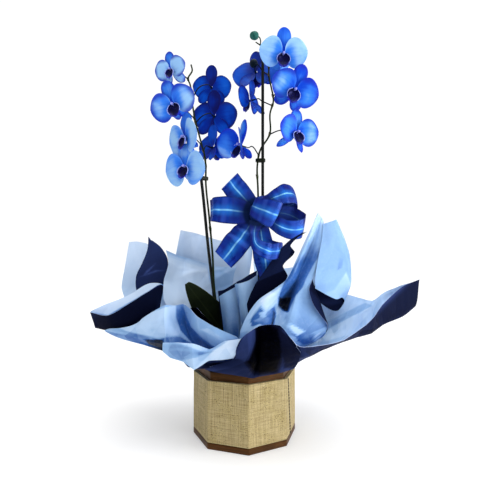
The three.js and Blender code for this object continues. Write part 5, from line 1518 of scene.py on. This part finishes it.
def creased(grid, u, v, seed, amount):
    """The sheet with straight creases between flat sides, and slow waves, in millimetres."""
    draw = random.Random(seed)
    across, down = np.broadcast_arrays(u[None, :], v[:, None])
    height = np.zeros(grid.shape[:2])
    for depths, widths, reaches, share in FOLDS:
        for _ in range(4 + int(u[-1] * v[-1] / share)):
            angle = draw.choice((0.0, 0.0, 1.2)) + draw.uniform(-0.45, 0.45)
            right, below = across - draw.uniform(0, u[-1]), down - draw.uniform(0.3 * v[-1], v[-1])
            away = right * math.cos(angle) - below * math.sin(angle)
            along = right * math.sin(angle) + below * math.cos(angle)
            width, reach = draw.uniform(*widths), draw.uniform(*reaches)
            wedge = np.clip(1 - np.abs(away) / width, 0, 1) * np.clip(1 - np.abs(along) / reach, 0, 1)
            height += draw.choice((-1, 1)) * draw.uniform(*depths) * wedge
    for i, j in np.ndindex(height.shape):
        height[i, j] += WAVE * ripple(across[i, j] / 55, down[i, j] / 75, seed)
    loose = np.clip((grid[..., 2] - SEAT) / (FREE - SEAT), 0, 1)
    return grid + normals_of(grid) * (height * loose * amount)[..., None]

# %% [markdown]
# ## Painted shade on a sheet
# The paper's light and shade are painted into its colour, far stronger than plain shading gives: painted light
# on slopes that face the light, and painted shade, deep blue, in its folds. So each point carries a mark,
# `shade`, from pale to nearly black. It starts from the slope and the hollows of the sheet. The large folds of
# the front sheets are then drawn over it as facets, each a few corners with a tone: painted shadows, dark
# bands and highlights. A second mark says how strongly the small facets of the finish show, in relief and in
# painted shade.

# %% Facets of the folds
# for each facet how soft its edge is, then x,z,tone of its corners, as the camera sees them on the upright
# plane through the pot's middle, in millimetres; each tone is painted shade, nearly black at 2, and painted
# light below 0
PATCHES = {
    "tall_sheet": """
    5: -8,143,.6 -8,202,.45 29,236,.3 93,320,.1 130,378,0 151,336,.15 113,269,.45 108,232,.45 130,214,.4
    146,177,.3 110,143,.35 51,143,.45;
    2: 123,283,.5 111,273,.6 96,239,.7 79,210,.75 66,189,.85 68,165,.95 93,152,1 123,155,.85 148,180,.7
    138,200,.6 125,221,.6 110,236,.6;
    2: 130,357,.1 113,330,.25 98,303,.6 83,276,1 71,256,1.2 62,241,1.3 57,222,1.5 73,199,1.7 86,227,1.6
    96,239,1.5 104,257,1.35 113,274,1.2 123,289,1 131,313,.6 138,336,.35;
    1.5: 57,224,2 64,221,2 78,223,1.9 73,198,1.9 66,200,2 56,209,2;
    1.5: 9,185,1.3 26,210,1 33,198,1.3 25,179,1.5 12,174,1.4;
    1.5: 36,198,1 52,212,.9 50,186,1.4 44,175,1.5 29,175,1.4;
    1.5: 56,210,.1 64,192,.4 59,180,.4 51,182,.3 52,199,.1;
    1.5: 26,217,-.3 41,234,-.3 52,221,0 36,204,-.1;
    1.5: 61,177,.8 73,177,.7 78,165,.8 68,158,.8;
    1.5: 71,177,.3 88,172,.3 94,163,.3 78,165,.4;
    1: 86,150,1.3 88,162,1.1 103,159,.9 116,163,.8 116,147,1 99,144,1.3;
    1: 118,164,-.3 125,159,-.2 127,148,-.1 119,146,-.2;
    1.5: 77,179,.1 99,166,-.2 88,159,0 76,172,.1;
    1.5: 61,176,.8 76,172,.9 84,158,1 71,159,.8;
    1: 113,164,.6 137,174,.4 174,191,.2 176,186,.2 142,167,.3 125,161,.4;
    1: 47,208,1.5 52,196,1.8 48,176,1.8 44,176,1.7 45,193,1.6;
    1: 56,207,0 62,191,.1 60,184,.3 51,186,.4;
    1.5: 29,223,-.1 39,231,-.2 52,232,0 54,223,.2 40,210,0 31,208,0;
    1.5: 13,184,1 29,176,1.3 44,182,1.2 40,190,1 24,189,.8;
    1.5: 24,198,.5 34,200,.3 35,191,.5 26,189,.6""",
    "cone": """
    3: 101,362,.45 180,362,.55 190,286,.7 185,219,.6 143,210,.6 101,219,.7 103,286,.65;
    1.5: 135,231,.45 150,236,.35 170,266,.2 180,242,.35 167,221,.4 150,220,.4;
    1.5: 151,313,.6 160,298,.7 155,269,.9 163,273,.8 167,296,.7""",
    "left_front": """
    1.5: -210,172,.15 -156,199,0 -116,212,.1 -114,189,.15 -107,163,.2 -134,152,.3 -200,167,.2;
    1.5: -201,168,.2 -156,167,.25 -109,158,.15 -122,174,.1 -159,179,.05;
    1.5: -116,216,.6 -116,189,.85 -108,167,1.05 -94,153,1.25 -80,139,1.35 -70,128,1.4 -40,135,1.4
    -57,142,1.5 -72,153,1.5 -91,173,1.45 -99,190,1.3 -106,214,.75;
    1.5: -159,154,.5 -129,157,.8 -109,158,.95 -92,147,1.15 -77,128,1.25 -109,140,.95 -146,148,.6;
    1: -169,153,1.9 -137,153,1.9 -135,135,1.9 -159,142,1.8;
    1.5: -104,214,.4 -97,190,.55 -90,174,.6 -70,155,.65 -55,143,.6 -40,137,.5 -15,148,.45 -52,179,.4
    -82,199,.35;
    1.5: -75,170,.2 -62,172,.2 -28,150,.3 -38,147,.4 -57,160,.4""",
    "front_left": """
    1.5: -142,152,.6 -109,145,.75 -75,133,.9 -55,133,.7 -85,122,.6 -116,116,.55 -136,125,.5;
    1.5: -116,116,.2 -85,122,.15 -53,132,.2 -80,98,.2 -99,105,.2;
    1.5: -53,133,-.4 -3,167,-.4 17,168,-.3 -15,115,-.2 -65,113,-.2 -89,95,-.1 -79,108,-.2""",
    "left_wing": """
    2: -267,200,-.5 -198,234,-.5 -163,251,-.5 -137,247,-.5 -230,193,-.4 -260,199,-.3;
    1.5: -230,193,1 -139,247,1.1 -129,246,1 -142,219,.9 -154,199,1 -178,185,1.1 -203,168,1.2 -247,167,1
    -263,199,.5""",
    "left_curl": """
    6: -210,345,0 -109,345,.05 -109,219,.4 -210,219,.3;
    .8: -149,281,-.3 -166,268,-.25 -172,258,-.1 -161,266,-.3;
    .8: -176,258,-.1 -151,269,-.3 -134,269,-.1 -148,266,-.25 -163,261,-.2""",
    "back_left": """
    5: -218,328,-.5 -142,328,-.5 -142,219,-.2 -218,210,-.1""",
    "inner_left": """
    5: -159,303,-.5 -50,269,-.5 -50,236,0 -50,168,.5 -109,185,-.3 -159,202,-.3;
    1.5: -129,289,-.35 -97,252,-.3 -82,219,-.3 -58,219,-.3 -55,252,-.2 -99,283,-.35;
    1.5: -64,279,.1 -50,273,.3 -25,261,.5 -25,232,.6 -53,236,.6 -60,252,.4""",
    "back_panel": """
    5: -126,345,-.5 -50,328,-.4 9,320,-.3 9,219,0 -75,244,-.1 -122,283,-.1;
    1.5: -117,303,-.1 -106,296,.1 -82,289,0 -67,283,-.2 -95,289,.1 -116,293,.2""",
    "right_wing": """
    5: 93,236,.2 244,236,.1 328,328,.1 336,303,.1 193,168,.15 93,135,.3;
    1.5: 88,158,.9 118,164,.8 117,149,.9 99,142,1 84,147,1;
    1.5: 118,164,-.4 130,150,-.3 117,148,-.2;
    1.5: 123,174,.6 162,194,.5 202,214,.4 214,209,.5 162,182,.7 136,167,.7;
    1.5: 130,158,-.1 168,168,0 197,199,0 222,212,.1 177,162,.1 136,150,0""",
    "front": """
    6: 20,179,1.6 39,179,1.8 57,174,1.8 64,132,1.9 54,98,1.9 17,95,1.9 2,115,1.8 19,148,1.7;
    2: -15,132,.2 -1,162,-.2 17,175,-.2 19,152,0 7,118,.2 -8,111,.6;
    1.5: 57,168,1.2 76,155,1.1 103,132,.9 93,105,.7 66,105,.9 64,135,1.5""",
    "centre": """
    1.5: -25,152,1.5 9,244,1.3 68,269,1.3 93,345,1 113,333,1 76,252,1.2 29,202,1.6""",
    "roll_left": """
    3: -67,236,.4 -8,252,.4 -8,202,.9 -11,152,1.2 -55,152,1.1 -62,202,.8""",
    "roll_right": """
    3: -22,252,.25 29,269,.2 22,219,.5 2,177,.9 -15,160,1 -15,219,.6;
    1: -18,247,.9 -11,247,.5 -8,202,.9 -8,168,1.2 -15,168,1.3""",
}
print("facets:", sum(text.count(":") for text in PATCHES.values()))

# %% Shades
TO_LIGHT = np.array([0.25, -0.4, 0.88])


def soft(values, times):
    """Values of a grid, averaged with their neighbours a number of times."""
    for _ in range(times):
        wide = np.pad(values, [(1, 1), (1, 1)] + [(0, 0)] * (values.ndim - 2), mode="edge")
        values = (wide[:-2, 1:-1] + wide[2:, 1:-1] + wide[1:-1, :-2] + wide[1:-1, 2:]) / 4
    return values


def seen(grid):
    """Where the camera sees the points on the upright plane through the pot's middle."""
    nearer = EYE[1] / (EYE[1] - grid[..., 1])
    return EYE[0] + (grid[..., 0] - EYE[0]) * nearer, EYE[2] + (grid[..., 2] - EYE[2]) * nearer


def facet(x, z, corners, edge):
    """The tone between the corners of a facet, and how far inside the facet each point lies, 0 to 1."""
    total, weights, away = np.zeros(x.shape), np.zeros(x.shape), np.full(x.shape, np.inf)
    inside = np.zeros(x.shape, bool)
    for (x0, z0, tone), (x1, z1, _) in zip(corners, corners[1:] + corners[:1]):
        near = 1 / ((x - x0) ** 2 + (z - z0) ** 2 + 4)
        total += near * tone
        weights += near
        side, rise = x1 - x0, z1 - z0
        share = np.clip(((x - x0) * side + (z - z0) * rise) / (side ** 2 + rise ** 2), 0, 1)
        away = np.minimum(away, np.hypot(x - x0 - share * side, z - z0 - share * rise))
        if rise:
            inside ^= ((z0 > z) != (z1 > z)) & (x < x0 + (z - z0) * side / rise)
    depth = np.clip(0.5 + np.where(inside, away, -away) / (2 * edge), 0, 1)
    return total / weights, depth * depth * (3 - 2 * depth)


def painted_shading(grid, name, side, inside):
    """Painted light and shade: by the slope, the hollows and the facets."""
    normal = normals_of(grid) * side
    facing_light = normal @ TO_LIGHT
    around = soft(facing_light, times=14)
    # painted light on slopes that face the light and painted shade on those turned away, plus the sheet's own
    # added painted shade from the table
    shade = inside + 0.56 - 0.62 * np.clip(around, -0.2, 1)
    x, z = seen(grid)
    for patch in filter(None, PATCHES.get(name, "").split(";")):
        edge, corners = patch.split(":")
        tone, weight = facet(x, z, read_points(corners), float(edge))
        shade = shade + (tone - shade) * weight
    # painted shade in the hollows, and painted facets of light and shade where a slope differs from its
    # surroundings
    hollow = np.einsum("ijk,ijk->ij", soft(grid, times=12) - grid, normal)
    shade = shade + np.clip(hollow * 0.12, -0.15, 0.2) - 0.3 * (facing_light - around)
    return np.clip(shade, -0.5, 2)

# %% Sixteen sheets
PAPER_THICK = 0.6
PAPER_STEP, FINE_STEP = 2.6, 2.0  # between points of a plain sheet, and of one with facets


def add_sheet(skin, grid, lengths, faces, **marks):
    skin.slab(grid, PAPER_THICK, lengths[0][None, :], lengths[1][:, None], faces, **marks)


def declare(grid):
    """Works out the cross products of a sheet's diagonals on its grid, and keeps nothing."""
    diagonals = np.cross(grid[1:, 1:] - grid[:-1, :-1], grid[1:, :-1] - grid[:-1, 1:])


def make_sheet(name, guide, seed):
    own = SHEETS[name].get
    pale = own("pale", False)
    grid = smooth_surface(guide, FINE_STEP if name in PATCHES else PAPER_STEP, own("ease", PAPER_EASE))
    lengths = run_lengths(grid)
    grid = creased(grid, *lengths, seed, own("crease", 1.0))
    skin = Skin()
    add_sheet(skin, grid, lengths, (0, 1, 2) if pale else (1, 0, 2),
              shade=painted_shading(grid, name, 1 if pale else -1, own("inside", 0.0)),
              crumple=np.clip((250 - grid[..., 2]) / 110, 0.25, 1) * own("crumple", 1.0))
    for layer in LAYERS.get(name, []):
        small = smooth_surface(layer, PAPER_STEP, PAPER_EASE)
        # painted shade on the inner layers, darker towards the right, where they lie in the sheet's shadow
        depth = np.clip((small[..., 0] + 215) / 50, 0.2, 1.9)
        add_sheet(skin, small, run_lengths(small), (0, 1, 2), shade=depth, crumple=0.3 + 0 * depth)
    piece = skin.piece("paper_" + name, "folded", "paper", [pale_paper, navy_paper, paper_edge], crease=13)
    declare(grid)


for seed, (name, guide) in enumerate(PAPER.items()):
    make_sheet(name, guide, seed)

# %% [markdown]
# ## Ribbon bow
# The bow is satin ribbon about 40 mm wide, royal blue, with a pale line woven along its middle. Loops and
# tails are strips between two edges, pleated where they meet in the knot. A narrow turn of the ribbon makes
# the knot, and a band ties the bow to the right stem and its stake. The line and a painted sheen beside it
# follow the strip's own map. A stiff ribbon bends softly along its run: `gleam` marks the crests of those
# bends, which get a painted highlight, with painted shade between them, and `deep` the places near the knot
# and behind the bow, painted nearly black as shade. The strip's edges and cloudy patches along it get painted
# shade as well.

# %% Ribbon finish
def ribbon_finish():
    finish = Finish("blue satin ribbon", Anisotropic=0.3, Specular_Tint=linear(70, 140, 255),
                    Specular_IOR_Level=1.0)
    place = finish.uv()
    across, along, _ = finish.parts(place)
    off = abs(across - 0.5)
    threads = (along * 9.0).sine() * 0.5 + 0.5
    cloud = finish.grain(place, (3.0, 0.05, 1), 3.0)
    # painted glints along the woven line
    painted_glints = finish.grain(place, (0.4, 0.07, 1)).step(0.3, 0.65)
    # cloudy patches of painted shade along the strip, standing for its bends
    bends = finish.grain(place, (0.5, 0.085, 1), distortion=0.5).step(0.42, 0.66)
    deep, gleam = finish.mark("deep"), finish.mark("gleam")
    # painted light and shade over the blue: patches and troughs of painted shade, a painted highlight on the
    # crests, a painted sheen beside the woven line and glints on it, painted shade along the edges, and
    # near-black painted shade where `deep` is high
    finish.coats((4, 22, 112), (cloud.step(0.3, 0.7), (12, 46, 152)),
                 (bends * 0.75, (26, 14, 104)),
                 ((1 - gleam).step(0.4, 1.0) * 0.5, (16, 10, 96)),
                 (gleam.step(0.5, 1.0) * 0.3, (70, 110, 226)),
                 ((1 - off.step(0.03, 0.3)) * (0.25 + painted_glints * 0.4), (36, 124, 220)),
                 ((1 - off.step(0.01, 0.05)) * (0.3 + painted_glints * 0.65), (140, 212, 250)),
                 (off.step(0.42, 0.49) * 0.9, (10, 8, 70)),
                 (deep.step(0.0, 0.6) * 0.8, (22, 10, 92)),
                 (deep.step(0.55, 1.0) * 0.95, (3, 3, 30)))
    finish.rough(0.22 + cloud * 0.12 + deep * 0.5)
    finish.bump(threads * 0.4 + cloud * 0.6, 0.12)
    return finish


satin = ribbon_finish()
print("ribbon finish:", len(satin.nodes), "nodes")

# %% Where the ribbon runs
# the two edges of each strip, from end to end
RIBBON = {
    "tail_upper": rows(4, """
    -36,-44,396 -23,-42,380 -9,-38,369 0,-34,362
    -11,-40,422 4,-40,404 16,-38,388 24,-34,374"""),
    "loop_left": rows(8, """
    10,-38,346 -7,-50,341 -28,-56,341 -47,-54,344 -54,-44,346 -49,-32,347 -20,-26,349 7,-28,354
    10,-38,374 -4,-50,380 -27,-56,383 -47,-54,381 -53,-44,379 -49,-32,379 -20,-26,377 7,-28,370"""),
    "tail_left": rows(4, """
    -45,-52,298 -33,-50,318 -19,-46,334 0,-40,352
    -20,-56,273 0,-56,294 15,-52,316 24,-42,340"""),
    "loop_front": rows(7, """
    24,-44,354 16,-58,350 9,-66,353 21,-72,342 39,-68,334 42,-54,344 34,-44,357
    33,-44,374 30,-58,383 19,-66,379 36,-72,376 57,-68,371 53,-54,371 37,-44,367"""),
    "loop_upper_right": rows(8, """
    28,-36,366 40,-40,370 56,-41,373 70,-37,375 84,-27,376 84,-15,368 65,-13,362 31,-26,368
    21,-36,385 34,-40,388 48,-41,398 62,-37,406 74,-27,405 79,-15,391 63,-13,385 30,-26,379"""),
    "loop_right": rows(7, """
    28,-38,349 40,-44,335 57,-50,322 76,-47,317 92,-34,324 83,-21,338 31,-28,359
    31,-38,372 43,-44,360 61,-50,349 80,-47,347 98,-34,355 85,-19,370 38,-28,372"""),
    "loop_lower": rows(8, """
    8,-44,348 9,-58,324 13,-74,299 32,-78,286 53,-62,288 56,-52,290 38,-44,302 22,-36,345
    30,-44,342 22,-58,326 27,-72,314 40,-72,310 56,-62,312 57,-52,312 34,-44,322 30,-36,352"""),
    "tail_lower": rows(4, """
    12,-38,352 12,-46,316 14,-48,288 24,-50,256
    34,-38,350 43,-46,319 50,-48,290 46,-50,256"""),
}
KNOT = {"centre": (21, -37, 359), "radii": (12, 9.5, 13)}
TIE = {"centre": (26, -12), "radii": (11, 19), "bottom": 353, "height": 11}
print("loops and tails:", len(RIBBON))

# %% Loops and tails
RIBBON_THICK = 0.5
RIBBON_STEP = 1.8
ACROSS = 13


def bend_phase(u, count, seed):
    """The phase of the soft bends along a strip, with bends of uneven length."""
    far = np.arange(count)[None, :] * RIBBON_STEP
    return far / 4.2 + 1.4 * np.sin(far / 13 + seed) + 2 * seed + 0.8 * u


for seed, (name, edges) in enumerate(RIBBON.items()):
    sides = smooth(np.swapaxes(np.array(edges, float), 0, 1), RIBBON_STEP)
    u = np.linspace(0, 1, ACROSS)[:, None]
    grid = sides[:, 0] * (1 - u[..., None]) + sides[:, 1] * u[..., None]
    _, lengths = run_lengths(np.swapaxes(grid, 0, 1))
    away = np.linalg.norm(grid - np.array(KNOT["centre"], float), axis=-1)
    phase = bend_phase(u, grid.shape[1], seed)
    pleats = 0.2 * np.sin(u * 15 + seed) * np.exp(-np.clip(away - 10, 0, None) / 13)
    belly = 1.2 * (1 - (2 * u - 1) ** 2) * np.clip((away - 14) / 20, 0, 1)
    bends = 1.3 * np.sin(phase) * np.clip((away - 18) / 14, 0, 1)
    grid = grid + normals_of(grid) * (pleats + belly + bends)[..., None]
    away = np.linalg.norm(grid - np.array(KNOT["centre"], float), axis=-1)
    # painted shade, nearly black, near the knot and behind the bow; `gleam` puts a painted highlight on the
    # crests of the bends and painted shade between them
    behind = np.clip((grid[..., 1] + 36) / 14, 0, 1)
    skin = Skin()
    skin.slab(grid, RIBBON_THICK, u, lengths[None, :],
              deep=np.clip(np.exp(-np.clip(away - 23, 0, None) / 10) + 0.6 * behind, 0, 1),
              gleam=0.5 + 0.5 * np.cos(phase) * (0.9 if "loop" in name else 0.5))
    piece = skin.piece("bow_" + name, "satin", "ribbon", [satin], crease=60)
    declare(grid)

# %% Knot and tie
KNOT_GRID = {"around": 54, "down": 26}
TIE_SIDES = 64
TIE_THICK = 1


def knot_shape(turn, polar):
    """A pinched turn of ribbon: pleats that run from top to bottom."""
    return 1 + 0.05 * math.sin(9 * turn) * math.sin(polar) - 0.06 * math.cos(2 * polar) ** 2


skin = Skin()
# the knot is painted nearly black as shade, darkest at its bottom
add_egg(skin, KNOT["centre"], np.array(KNOT["radii"]) * (1.25, 1.0, 1.25), **KNOT_GRID, shape=knot_shape,
        deep=np.repeat(np.linspace(1, 0.6, KNOT_GRID["down"]), KNOT_GRID["around"]))
skin.piece("bow_knot", "satin", "ribbon", [satin], crease=60)

height = TIE["height"]
# how far out each corner of the band is, and how far up
section = [(0.5, 0), (1, 0.3), (1, height - 0.3), (0.5, height), (0.1, height), (0.1, 0)]
rings = [[(TIE["centre"][0] + (TIE["radii"][0] - TIE_THICK + out) * math.cos(a),
           TIE["centre"][1] + (TIE["radii"][1] - TIE_THICK + out) * math.sin(a),
           TIE["bottom"] + up + 0.25 * math.sin(5 * a) * (0 < up < height)) for a in round_turn(TIE_SIDES)]
         for out, up in section]
skin = Skin()
skin.rings(rings, np.linspace(0, 1, len(section) + 1)[:, None], np.linspace(0, 96, TIE_SIDES + 1)[None, :],
           closed=True)
tie = skin.piece("bow_tie", "satin", "ribbon", [satin], crease=60)
print("tie faces:", len(tie.data.polygons))
